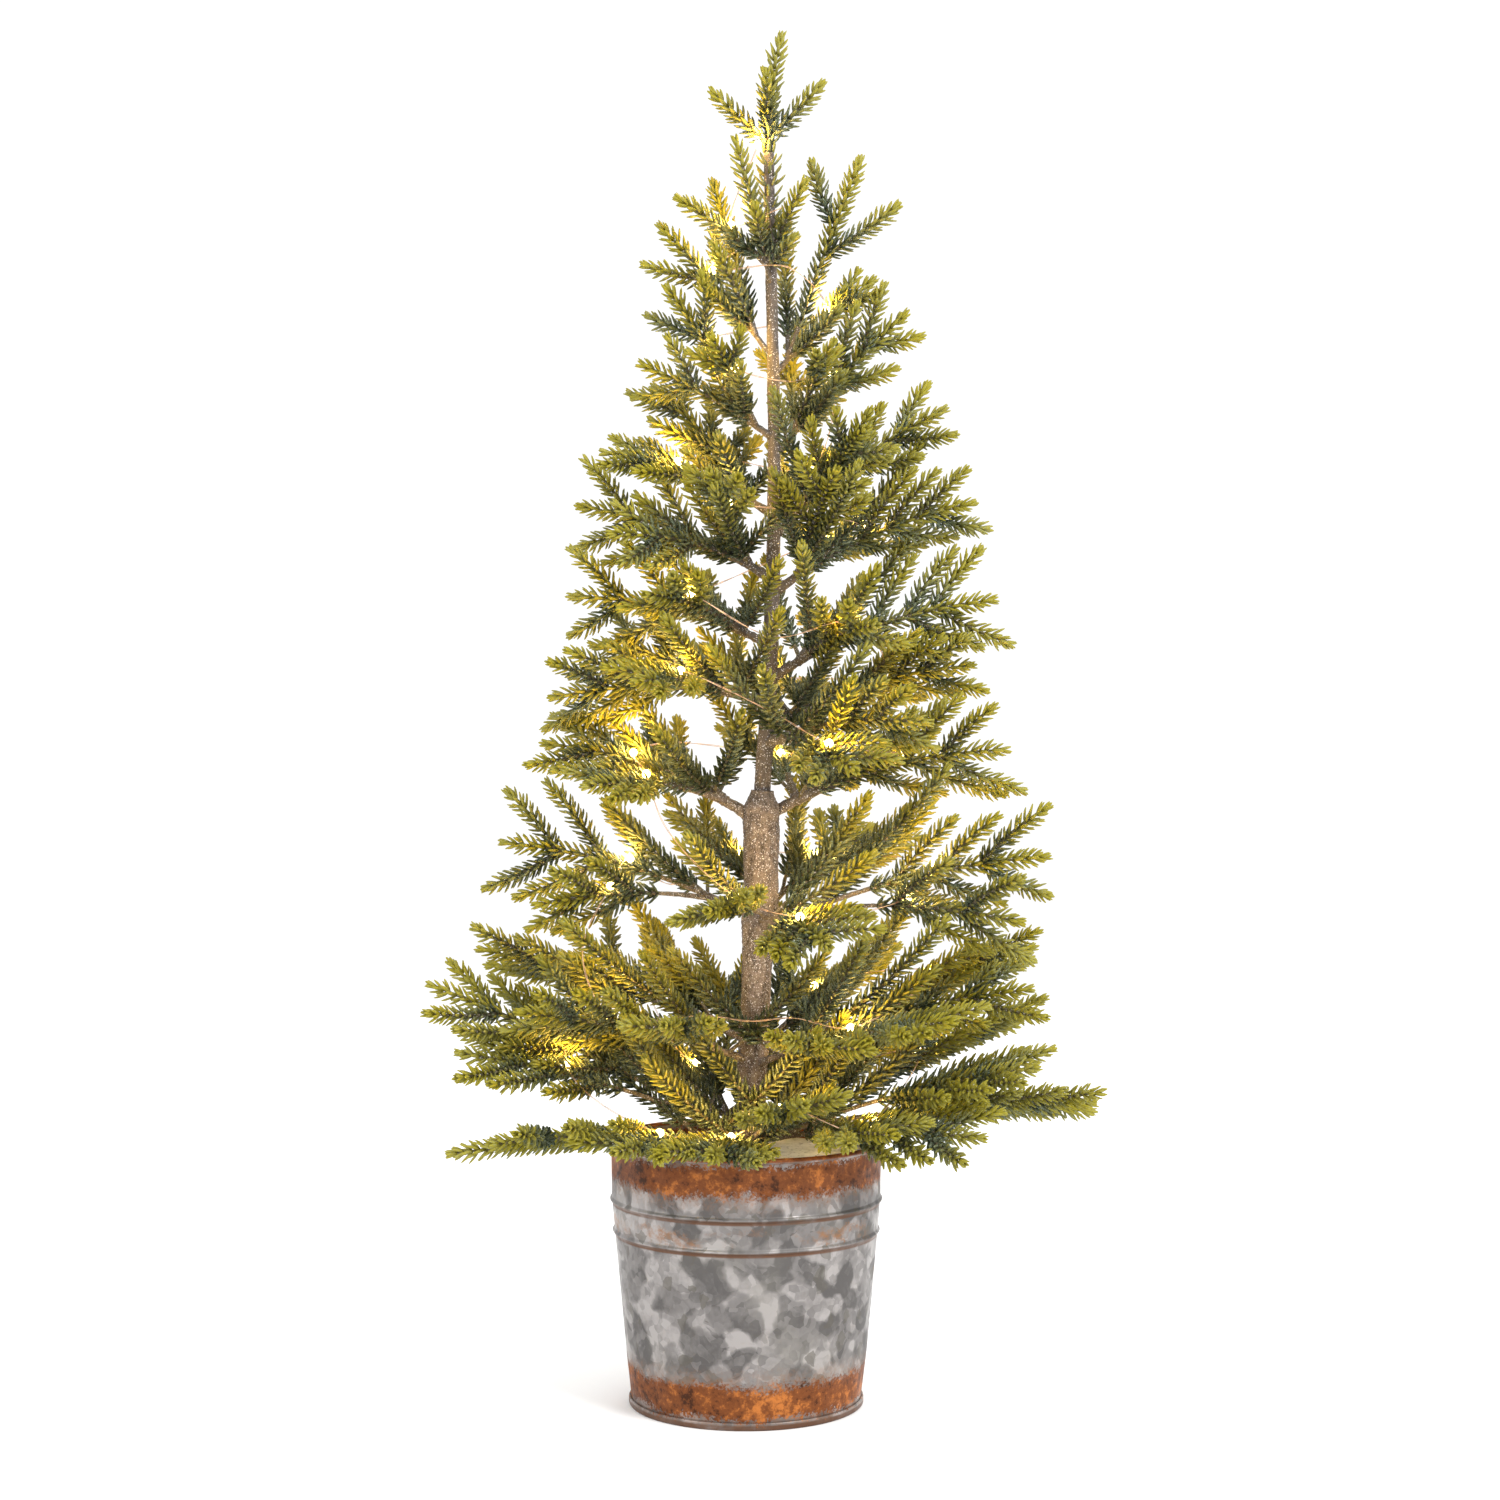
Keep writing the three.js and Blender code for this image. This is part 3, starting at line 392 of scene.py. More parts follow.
class Line:
    """A curve through dense points, read by the share of its length."""

    def __init__(self, points):
        self.points = np.asarray(points, float)
        steps = np.linalg.norm(np.diff(self.points, axis=0), axis=1)
        self.run = np.concatenate([[0.0], np.cumsum(steps)])
        self.length = self.run[-1]

    def at(self, share):
        """The points at shares of the length."""
        where = np.clip(share, 0, 1) * self.length
        return np.stack([np.interp(where, self.run, self.points[:, k]) for k in range(3)], axis=-1)

    def along(self, share):
        """The directions at shares of the length."""
        ahead = self.at(np.asarray(share) + 0.004)
        behind = self.at(np.asarray(share) - 0.004)
        step = ahead - behind
        return step / np.linalg.norm(step, axis=-1, keepdims=True)


def bezier(start, middle, end, count=60):
    """A curve from start to end that is drawn towards middle."""
    t = np.linspace(0, 1, count)[:, None]
    return Line((1 - t) ** 2 * start + 2 * t * (1 - t) * middle + t**2 * end)


def smooth_line(points, count=24):
    """A centripetal curve through points."""
    points = np.asarray(points, float)
    padded = np.vstack([2 * points[0] - points[1], points, 2 * points[-1] - points[-2]])
    made = [points[:1]]
    for p0, p1, p2, p3 in zip(padded, padded[1:], padded[2:], padded[3:]):
        k0 = 0.0
        k1 = k0 + np.linalg.norm(p1 - p0) ** 0.5
        k2 = k1 + np.linalg.norm(p2 - p1) ** 0.5
        k3 = k2 + np.linalg.norm(p3 - p2) ** 0.5
        t = np.linspace(k1, k2, count + 1)[1:, None]
        a1 = (k1 - t) / (k1 - k0) * p0 + (t - k0) / (k1 - k0) * p1
        a2 = (k2 - t) / (k2 - k1) * p1 + (t - k1) / (k2 - k1) * p2
        a3 = (k3 - t) / (k3 - k2) * p2 + (t - k2) / (k3 - k2) * p3
        b1 = (k2 - t) / (k2 - k0) * a1 + (t - k0) / (k2 - k0) * a2
        b2 = (k3 - t) / (k3 - k1) * a2 + (t - k1) / (k3 - k1) * a3
        made.append((k2 - t) / (k2 - k1) * b1 + (t - k1) / (k2 - k1) * b2)
    return Line(np.vstack(made))


def turning_frames(tangents):
    """Two directions square to each tangent, turning as little as possible from one to the next."""
    side = UP if abs(tangents[0][2]) < 0.9 else np.array([1.0, 0.0, 0.0])
    sides, acrosses = [], []
    for tangent in tangents:
        side = unit(side - np.dot(side, tangent) * tangent)
        sides.append(side)
        acrosses.append(np.cross(tangent, side))
    return np.array(sides), np.array(acrosses)


# ---- Meshes --------------------------------------------------------------------------------------


class Builder:
    """Gathers the vertices, faces and vertex values of one piece."""

    def __init__(self):
        self.verts, self.faces, self.values = [], [], []
        self.count = 0

    def add(self, verts, faces, values=None):
        """Adds a closed surface. Its values are outward, needle and chance for each vertex."""
        verts = np.asarray(verts, float)
        self.verts.append(verts)
        self.faces.extend([tuple(int(i) + self.count for i in face) for face in faces])
        self.values.append(np.zeros((len(verts), 3)) if values is None else np.asarray(values, float))
        self.count += len(verts)

    def piece(self, name, material):
        """Makes one object of all that was added."""
        mesh = bpy.data.meshes.new(name)
        mesh.from_pydata(np.vstack(self.verts).tolist(), [], self.faces)
        mesh.update()
        mesh.polygons.foreach_set("use_smooth", [True] * len(mesh.polygons))
        values = np.vstack(self.values)
        for k, label in enumerate(("outward", "needle", "chance")):
            attribute = mesh.attributes.new(label, "FLOAT", "POINT")
            attribute.data.foreach_set("value", values[:, k].astype(np.float32))
        mesh.materials.append(material)
        made = bpy.data.objects.new(name, mesh)
        bpy.context.scene.collection.objects.link(made)
        return made


def tube(points, radii, sides, wobble=0.0, seed=0, values=None):
    """A closed round bar along points. Wobble roughens its surface by a share of the radius."""
    points = np.asarray(points, float)
    count = len(points)
    tangents = np.gradient(points, axis=0)
    tangents /= np.linalg.norm(tangents, axis=1, keepdims=True)
    side, across = turning_frames(tangents)
    angles = np.arange(sides) * 2 * math.pi / sides
    random = np.random.default_rng(seed)
    rough = 1 + wobble * random.uniform(-1, 1, (count, sides))
    radii = np.broadcast_to(radii, count)[:, None] * rough
    outward = np.cos(angles)[:, None] * side[:, None] + np.sin(angles)[:, None] * across[:, None]
    ring = points[:, None] + radii[..., None] * outward
    verts = np.vstack([ring.reshape(-1, 3), points[:1], points[-1:]])
    faces = []
    for i in range(count - 1):
        for k in range(sides):
            after = (k + 1) % sides
            faces.append((i * sides + k, i * sides + after, (i + 1) * sides + after, (i + 1) * sides + k))
    low, high = count * sides, count * sides + 1
    for k in range(sides):
        after = (k + 1) % sides
        faces.append((low, after, k))
        faces.append((high, (count - 1) * sides + k, (count - 1) * sides + after))
    if values is not None:
        values = np.asarray(values, float)
        values = np.vstack([np.repeat(values, sides, axis=0), values[:1], values[-1:]])
    return verts, faces, values


def turned(profile, segments, closed=False):
    """A surface of revolution about Z from (radius, height) points in metres."""
    profile = np.asarray(profile, float)
    angles = np.arange(segments) * 2 * math.pi / segments
    spin = np.stack([np.cos(angles), np.sin(angles)], axis=1)
    heights = np.broadcast_to(profile[:, None, 1:], (len(profile), segments, 1))
    verts = np.concatenate([profile[:, None, :1] * spin[None], heights], axis=2).reshape(-1, 3)
    faces = []
    rows = len(profile)
    for i in range(rows if closed else rows - 1):
        below, above = i, (i + 1) % rows
        for k in range(segments):
            after = (k + 1) % segments
            low, high = below * segments, above * segments
            faces.append((low + k, low + after, high + after, high + k))
    return verts, faces


def arc(centre, radius, start, end, count):
    """Points round an arc in the profile plane, angles in degrees."""
    return [
        (centre[0] + radius * math.cos(math.radians(a)), centre[1] + radius * math.sin(math.radians(a)))
        for a in np.linspace(start, end, count)
    ]


def finish_piece(piece, body, replaced=()):
    """Puts a piece on the body that it rides on, and hides the frame's nodes that it stands for."""
    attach(piece, body)
    if replaced:
        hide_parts(*replaced)
    return piece


# ---- Node materials ------------------------------------------------------------------------------


class Nodes:
    """A small helper that adds and links the nodes of one material."""

    def __init__(self, name):
        self.material = bpy.data.materials.new(name)
        self.material.use_nodes = True
        self.tree = self.material.node_tree
        self.shader = self.tree.nodes["Principled BSDF"]

    def node(self, kind, **options):
        """A new node of a kind, with its options set."""
        made = self.tree.nodes.new(kind)
        for key, value in options.items():
            setattr(made, key, value)
        return made

    def link(self, source, target):
        self.tree.links.new(source, target)

    def feed(self, socket, value):
        """Links a socket to another node's output, or sets its number or colour."""
        if isinstance(value, bpy.types.NodeSocket):
            self.link(value, socket)
        else:
            socket.default_value = (*value, 1.0) if isinstance(value, tuple) and len(value) == 3 else value

    def place(self):
        """The place on the piece, in metres."""
        return self.node("ShaderNodeTexCoord").outputs["Object"]

    def value(self, label):
        """One of the values that the mesh holds at its vertices."""
        return self.node("ShaderNodeAttribute", attribute_name=label).outputs["Fac"]

    def scaled(self, vector, scale):
        made = self.node("ShaderNodeMapping")
        self.link(vector, made.inputs["Vector"])
        made.inputs["Scale"].default_value = scale
        return made.outputs["Vector"]

    def noise(self, vector, scale, detail=4.0, roughness=0.55):
        made = self.node("ShaderNodeTexNoise")
        self.link(vector, made.inputs["Vector"])
        made.inputs["Scale"].default_value = scale
        made.inputs["Detail"].default_value = detail
        made.inputs["Roughness"].default_value = roughness
        return made.outputs["Fac"]

    def cells(self, vector, scale, feature="F1"):
        """A pattern of cells, each with a colour of its own."""
        made = self.node("ShaderNodeTexVoronoi", feature=feature)
        self.link(vector, made.inputs["Vector"])
        made.inputs["Scale"].default_value = scale
        return made

    def channels(self, colour):
        """Three numbers from a colour, each different from cell to cell."""
        made = self.node("ShaderNodeSeparateColor")
        self.link(colour, made.inputs[0])
        return made.outputs

    def height(self, vector):
        """How high a place is."""
        made = self.node("ShaderNodeSeparateXYZ")
        self.link(vector, made.inputs[0])
        return made.outputs["Z"]

    def math(self, operation, a, b=0.0, clamp=False):
        made = self.node("ShaderNodeMath", operation=operation, use_clamp=clamp)
        self.feed(made.inputs[0], a)
        self.feed(made.inputs[1], b)
        return made.outputs[0]

    def total(self, *parts):
        """The sum of (value, weight) pairs."""
        weighted = [self.math("MULTIPLY", value, weight) for value, weight in parts]
        made = weighted[0]
        for part in weighted[1:]:
            made = self.math("ADD", made, part)
        return made

    def most(self, *values):
        """The largest of the values."""
        made = values[0]
        for value in values[1:]:
            made = self.math("MAXIMUM", made, value)
        return made

    def window(self, value, low, high):
        """Goes from 0 to 1 over the pair low, and back to 0 over the pair high."""
        return self.math("MULTIPLY", self.band(value, *low), self.band(value, *high, 1.0, 0.0))

    def band(self, value, low, high, start=0.0, end=1.0):
        """Goes smoothly from start to end as value goes from low to high."""
        made = self.node("ShaderNodeMapRange", interpolation_type="SMOOTHSTEP")
        self.link(value, made.inputs["Value"])
        made.inputs["From Min"].default_value = low
        made.inputs["From Max"].default_value = high
        made.inputs["To Min"].default_value = start
        made.inputs["To Max"].default_value = end
        return made.outputs["Result"]

    def blend(self, share, first, second):
        """A colour that goes from first to second as share goes from 0 to 1."""
        made = self.node("ShaderNodeMix", data_type="RGBA")
        self.feed(made.inputs[0], share)
        self.feed(made.inputs[6], first)
        self.feed(made.inputs[7], second)
        return made.outputs[2]

    def bump(self, height, strength, distance):
        """A relief whose depth is a distance in metres."""
        made = self.node("ShaderNodeBump")
        made.inputs["Strength"].default_value = strength
        made.inputs["Distance"].default_value = distance
        self.link(height, made.inputs["Height"])
        return made.outputs["Normal"]

    def set(self, **inputs):
        """Links the shader's sockets, each named with underscores for its spaces."""
        for label, value in inputs.items():
            self.feed(self.shader.inputs[label.replace("_", " ")], value)


def shade(colour, factor):
    """A colour made darker or lighter by a factor."""
    return tuple(min(1.0, factor * part) for part in colour)


def needle_material():
    """Moulded needles: olive at the ends of the sprays, dark green inside, with a pale frosting. The dark
    inside is partly their own green and partly painted shade; the pale patches are partly frosting and partly
    painted highlight.
    """
    if "frosted_needles" in bpy.data.materials:
        return bpy.data.materials["frosted_needles"]
    look = settings().needles
    n = Nodes("frosted_needles")
    place = n.place()
    drift = n.math("SUBTRACT", n.noise(place, 55, 3), 0.5)
    outward, needle, luck = n.value("outward"), n.value("needle"), n.value("chance")
    # How far a needle is towards the tips. Low values take the inner colour, which holds painted shade deep
    # in the tree.
    tipward = n.total((outward, 0.95), (needle, 0.18), (drift, 0.5), (luck, 0.16))
    body = n.blend(n.band(tipward, 0.22, 1.12), tuple(look.inner_colour_and_shade), tuple(look.outer_colour))
    grain = n.cells(place, 2600)
    speck = n.channels(grain.outputs["Color"])
    # Pale patches over whole sprays: partly the frosting, partly a painted highlight of sprays lit from the
    # front.
    frost_and_highlight_patches = n.band(n.noise(place, 38, 6, 0.7), 0.38, 0.62)
    less_outside = n.band(tipward, 0.35, 1.05, 0.85, 0.34)
    frost = n.math("MULTIPLY", n.math("MULTIPLY", frost_and_highlight_patches, less_outside), n.band(speck[0], 0.25, 0.9))
    sparkle = n.math("MULTIPLY", n.band(speck[1], 0.93, 0.97), 0.5)
    coat = n.math("ADD", frost, sparkle, clamp=True)
    n.set(Base_Color=n.blend(coat, body, tuple(look.frost_and_highlight_colour)))
    n.set(Roughness=n.band(n.noise(place, 900, 2), 0.3, 0.7, 0.5, 0.68))
    n.set(Normal=n.bump(grain.outputs["Distance"], 0.35, 0.0002))
    n.shader.inputs["Specular IOR Level"].default_value = 0.2
    return n.material


def bark_material():
    """A rough glittered coating, greyer on the leader and turning olive along the twigs."""
    if "glitter_bark" in bpy.data.materials:
        return bpy.data.materials["glitter_bark"]
    look = settings().bark
    n = Nodes("glitter_bark")
    place = n.place()
    coarse = n.noise(n.scaled(place, (1, 1, 0.45)), 300, 6, 0.7)
    grain = n.cells(place, 2600)
    speck = n.channels(grain.outputs["Color"])
    base = n.blend(n.band(coarse, 0.36, 0.64), tuple(look.crevice_colour), tuple(look.colour))
    dusty = n.blend(n.band(speck[2], 0.3, 1.0, 0.0, 0.5), base, tuple(look.dust_colour))
    on_leader = n.band(n.height(place), 0.30, 0.34, 0.0, 0.7)
    grey = n.blend(on_leader, dusty, tuple(look.leader_colour))
    aged = n.blend(n.math("MULTIPLY", n.value("outward"), 0.85), grey, tuple(look.twig_colour))
    sparkle = n.band(speck[0], 0.94, 0.96)
    n.set(Base_Color=n.blend(sparkle, aged, (0.8, 0.77, 0.75)))
    n.set(Metallic=n.math("MULTIPLY", sparkle, 0.5))
    n.set(Roughness=n.band(sparkle, 0.0, 1.0, 0.8, 0.35))
    n.set(Normal=n.bump(n.total((coarse, 0.7), (grain.outputs["Distance"], 0.4)), 0.7, 0.0007))
    return n.material


def zinc_spangle(n, place, look):
    """Galvanised sheet, with soft-edged crystals in two sizes under broad light and dark zones. The crystals
    are the zinc's own spangle; the broad zones are partly its own mottling and partly painted reflection and
    shade.

    Gives its colour, its tone and the relief of the crystals.
    """
    warp = n.node("ShaderNodeTexNoise")
    n.link(place, warp.inputs["Vector"])
    warp.inputs["Scale"].default_value = 60
    warp.inputs["Detail"].default_value = 3
    offset = n.node("ShaderNodeMix", data_type="VECTOR")
    offset.inputs[0].default_value = 0.012
    n.link(place, offset.inputs[4])
    n.link(warp.outputs["Color"], offset.inputs[5])
    bent = offset.outputs[1]
    large = n.cells(bent, 92, "SMOOTH_F1")
    large.inputs["Smoothness"].default_value = 0.35
    small = n.cells(bent, 230)
    # The broad noise, weighted most, lays painted reflection and shade over the sheet's own mottling; the two
    # cell patterns are its spangle.
    tone = n.total(
        (n.channels(large.outputs["Color"])[0], 0.5),
        (n.channels(small.outputs["Color"])[1], 0.2),
        (n.noise(place, 26, 7, 0.66), 0.62),
        (n.noise(place, 420, 3, 0.6), 0.14),
    )
    # A darker and a lighter copy of the zinc: where the broad zones set them, they are painted shade and
    # painted reflection.
    sheet = n.blend(n.band(tone, 0.46, 0.76), shade(look.zinc, 0.52), tuple(look.zinc))
    sheet = n.blend(n.band(tone, 0.72, 1.02), sheet, shade(look.zinc, 1.75))
    warm = n.band(n.noise(place, 22, 3), 0.5, 0.75, 0.0, 0.3)
    sheet = n.blend(warm, sheet, (0.30, 0.285, 0.24))
    flakes = n.band(n.channels(n.cells(bent, 170).outputs["Color"])[2], 0.91, 0.94, 0.0, 0.6)
    return n.blend(flakes, sheet, (0.115, 0.105, 0.088)), tone, small.outputs["Distance"]


def bucket_material():
    """Zinc with a rusted band under the rim and one round the foot, dark lines under the beads that are
    partly rust and partly painted shade, and stains.
    """
    if "rusted_zinc" in bpy.data.materials:
        return bpy.data.materials["rusted_zinc"]
    look = settings().bucket
    n = Nodes("rusted_zinc")
    place = n.place()
    height = n.height(place)
    sheet, tone, crystals = zinc_spangle(n, place, look)

    ragged = n.math("SUBTRACT", n.noise(place, 60, 6, 0.62), 0.5)
    grit = n.math("SUBTRACT", n.noise(place, 700, 4, 0.7), 0.5)
    edge = n.total((height, 1.0), (ragged, 0.013), (grit, 0.017))
    top = n.window(edge, (0.1155, 0.1205), (0.1325, 0.1345))
    foot = n.window(edge, (0.0042, 0.0068), (0.0195, 0.0245))
    rust = n.most(top, foot, n.band(height, 0.1352, 0.1362))

    # A thin dark brown line on the lower face of a bead, where it turns down: partly rust, partly painted
    # shade.
    def rust_and_shade_line(bead):
        near = n.math("ABSOLUTE", n.math("SUBTRACT", height, BUCKET[bead] * MM - 0.0014))
        return n.band(near, 0.00064, 0.0016, 1.0, 0.0)

    seam = n.band(height, 0.0022, 0.0032, 1.0, 0.0)
    lines = n.most(rust_and_shade_line("upper_bead"), rust_and_shade_line("lower_bead"), seam)
    lines = n.math("MULTIPLY", lines, n.band(n.noise(place, 42, 4), 0.3, 0.55, 0.45, 0.95))
    blotches = n.band(n.noise(n.scaled(place, (1, 1, 1.6)), 34, 7, 0.68), 0.44, 0.6, 0.0, 0.85)
    between = n.math("MULTIPLY", n.window(edge, (0.0915, 0.0935), (0.097, 0.103)), blotches)
    faint = n.most(between, n.band(edge, 0.108, 0.119, 0.0, 0.4), n.band(edge, 0.022, 0.033, 0.4, 0.0))

    grain = n.noise(place, 230, 8, 0.75)
    depth = n.total((grain, 0.6), (n.noise(place, 48, 4, 0.6), 0.4))
    rusty = n.blend(n.band(depth, 0.4, 0.49), shade(look.rust, 0.25), tuple(look.rust))
    rusty = n.blend(n.band(depth, 0.5, 0.62), rusty, tuple(look.bright_rust))
    stained = n.blend(n.math("MULTIPLY", faint, n.band(grain, 0.36, 0.6)), sheet, (0.28, 0.135, 0.062))
    # The lines' dark brown is the seam's own colour and, under the beads, partly painted shade.
    lined = n.blend(lines, stained, (0.125, 0.062, 0.036))
    n.set(Base_Color=n.blend(rust, lined, rusty))
    n.set(Metallic=n.math("SUBTRACT", 0.6, n.math("MULTIPLY", rust, 0.5)))
    n.shader.inputs["Specular IOR Level"].default_value = 0.2
    n.set(Roughness=n.total((n.band(tone, 0.5, 0.95, 0.5, 0.34), 1.0), (rust, 0.12)))
    relief = n.math("ADD", n.math("MULTIPLY", crystals, 0.2), n.math("MULTIPLY", grain, rust))
    n.set(Normal=n.bump(relief, 0.25, 0.0004))
    return n.material


def plaster_material():
    """Pale plaster with dark specks."""
    n = Nodes("speckled_plaster")
    place = n.place()
    grey = n.noise(place, 90, 6, 0.7)
    specks = n.channels(n.cells(place, 900).outputs["Color"])[0]
    base = n.blend(n.band(grey, 0.3, 0.7), (0.50, 0.49, 0.40), (0.74, 0.72, 0.63))
    n.set(Base_Color=n.blend(n.band(specks, 0.93, 0.96), base, (0.20, 0.19, 0.15)))
    n.set(Roughness=n.band(grey, 0.3, 0.7, 0.8, 0.95))
    n.set(Normal=n.bump(n.noise(place, 420, 6, 0.7), 0.5, 0.0006))
    return n.material


def plain_material(name, base, second, scale, roughness, metallic=0.0, bump=0.2):
    """A moulded or drawn finish with a change of tone, whose scale is given, and a fine grain."""
    if name in bpy.data.materials:
        return bpy.data.materials[name]
    n = Nodes(name)
    place = n.place()
    tone = n.noise(place, scale, 5)
    n.set(Base_Color=n.blend(n.band(tone, 0.35, 0.65), base, second))
    n.set(Roughness=n.band(n.noise(place, scale * 3, 3), 0.3, 0.7, roughness * 0.85, roughness * 1.15))
    n.shader.inputs["Metallic"].default_value = metallic
    n.set(Normal=n.bump(n.noise(place, scale * 12, 3), bump, 0.0002))
    return n.material


def lamp_material():
    """A clear resin bead with its lamp on."""
    if "lit_bead" in bpy.data.materials:
        return bpy.data.materials["lit_bead"]
    n = Nodes("lit_bead")
    ripple = n.band(n.noise(n.place(), 900, 2), 0.3, 0.7)
    n.set(Base_Color=n.blend(ripple, (1.0, 0.86, 0.5), (1.0, 0.93, 0.74)))
    n.set(Emission_Color=n.blend(ripple, (1.0, 0.74, 0.24), (1.0, 0.82, 0.40)))
    n.shader.inputs["Roughness"].default_value = 0.12
    n.shader.inputs["Coat Weight"].default_value = 0.6
    n.shader.inputs["Emission Strength"].default_value = 14.0
    return n.material


def wire_material():
    """The frame's own plain copper."""
    return bpy.data.materials["copper_wire"]


# ---- Trunk and branch lines ----------------------------------------------------------------------


def trunk_line():
    """The line that the post and the leader follow."""
    return smooth_line([np.array(p) * MM for p in TRUNK_LINE])


def trunk_at(line, height):
    """Where the trunk's line is at a height."""
    return np.array([np.interp(height, line.points[:, 2], line.points[:, k]) for k in range(3)])


def joint_root(number):
    """Where a branch is rooted, from its joint in the record."""
    name = f"branch_{number:02d}_bend"
    joint = next(j for j in frame["joints"] if j["name"] == name)
    return np.array(joint["pos_m"], float)


def stem_line(start, azimuth, reach, tip_height):
    """The line of a stem: it leaves its start upwards and arches out to its tip."""
    tip = heading(azimuth) * reach * MM + np.array([TRUNK_FOOT, 0, tip_height]) * MM
    rise = start[2] / MM
    steeper = smoothstep(rise, *STEM["steeper_from"]) - smoothstep(rise, *STEM["steeper_to"])
    arch = (STEM["arch"] + STEM["more_arch"] * steeper) * np.linalg.norm(tip - start)
    return bezier(start, mix(start, tip, STEM["bent_at"]) + UP * arch, tip)


def stem_lines(number):
    """The stems of a branch: the first grows from the root, and the others fork from it."""
    plans = BRANCHES[number - 1][1:]
    first = stem_line(joint_root(number), *plans[0][:3])
    fork = first.at(FORK_SHARE)
    return [first] + [stem_line(fork, *plan[:3]) for plan in plans[1:]]


def spray_line(stem, share, side, roll, length):
    """A side spray: it leaves the stem sideways and bends forward."""
    start, along = stem.at(share), stem.along(share)
    level = unit(np.cross(UP, along))
    up = np.cross(along, level)
    out = side * (level * math.cos(roll) + up * math.sin(roll))

    def lean(angle):
        return along * math.cos(math.radians(angle)) + out * math.sin(math.radians(angle))

    foot_lean, tip_lean = SPRAY["leans"]
    middle = start + lean(foot_lean) * length * SPRAY["bent_at"]
    return bezier(start, middle, middle + lean(tip_lean) * length * (1 - SPRAY["bent_at"]))


def side_sprays(stem, pairs, seed):
    """The pairs of side sprays of a stem. Their fan is turned about a stem that is seen from the side."""
    along = stem.along(0.5) * (1, 1, 0)
    upright = mix(SPRAY["flat"], 1, smoothstep(stem.at(0)[2] / MM, *SPRAY["flat_below"]))
    turned_by = max(0.3, abs(unit(along)[0])) * upright
    sign = -1 if chance(seed, 1) < 0.5 else 1
    roll = math.radians(mix(*SPRAY["rolls"], chance(seed, 0)) * turned_by * sign)
    shortest, longest = SPRAY["lengths"]
    sprays = []
    for k in range(2 * pairs):
        share = mix(*SPRAY["shares"], (k // 2 + 0.3 + 0.4 * chance(seed, 10 + k)) / pairs)
        full = stem.length / MM * (SPRAY["length_share"] - SPRAY["shorter"] * share)
        length = min(max(full, shortest), longest) * MM * mix(*SPRAY["spread"], chance(seed, 30 + k))
        sprays.append(spray_line(stem, share, 1 if k % 2 else -1, roll, length))
    return sprays


def twig_line(start, azimuth, reach, rise):
    """A short twig that leaves its start outwards and curves up."""
    tip = start + heading(azimuth) * reach + UP * rise
    return bezier(start, mix(start, tip, 0.5) - UP * TWIG["sag"] * reach, tip)


def grows_twig(azimuth, spread, height):
    """Low branches have no twig at the front. Those near the top have none that turn back round the trunk."""
    if height < TWIG["low"]:
        return abs(azimuth % 360 - 270) > TWIG["front_gap"]
    return height < TWIG["high"] or abs(spread) < TWIG["widest"]


def twig_lines(number, first):
    """The short twigs that fork from the foot of a branch's first stem, each with its seed."""
    plans = BRANCHES[number - 1][1:]
    own = sum(plan[0] for plan in plans) / len(plans)
    lines = []
    for k, (spread, reach, rise) in enumerate(TWIGS):
        seed = 8 * (number - 1) + 3 + k
        out = max(TWIG["shortest"], plans[0][1] * reach * mix(*TWIG["reaches"], chance(seed, 2))) * MM
        turn = own + spread + mix(-TWIG["turns"], TWIG["turns"], chance(seed, 3))
        if not grows_twig(turn, spread, first.points[0][2] / MM):
            continue
        start = first.at(mix(*TWIG["starts"], chance(seed, 4)))
        lines.append((twig_line(start, turn, out, out * rise * mix(*TWIG["rises"], chance(seed, 5))), seed))
    return lines


# ---- Needles -------------------------------------------------------------------------------------

# Rings of a needle: share of its length, and of its half width.
NEEDLE_RINGS = [(0.0, 0.6), (0.25, 1.0), (0.66, 0.98), (0.9, 0.6)]
NEEDLE_SIDES = 4
NEEDLE_FLATTEN = 0.72


def needle_template():
    """A straight needle of length and half width 1, whose first number is the share of its length."""
    verts, faces = [], []
    for share, width in NEEDLE_RINGS:
        for k in range(NEEDLE_SIDES):
            angle = 2 * math.pi * k / NEEDLE_SIDES
            verts.append((share, width * math.cos(angle), NEEDLE_FLATTEN * width * math.sin(angle)))
    verts.append((1.0, 0.0, 0.0))
    for ring in range(len(NEEDLE_RINGS) - 1):
        for k in range(NEEDLE_SIDES):
            after = (k + 1) % NEEDLE_SIDES
            low, high = ring * NEEDLE_SIDES, (ring + 1) * NEEDLE_SIDES
            faces.append((low + k, low + after, high + after, high + k))
    last, tip = (len(NEEDLE_RINGS) - 1) * NEEDLE_SIDES, len(NEEDLE_RINGS) * NEEDLE_SIDES
    for k in range(NEEDLE_SIDES):
        faces.append((last + k, last + (k + 1) % NEEDLE_SIDES, tip))
    faces.append(tuple(reversed(range(NEEDLE_SIDES))))
    return np.array(verts), faces


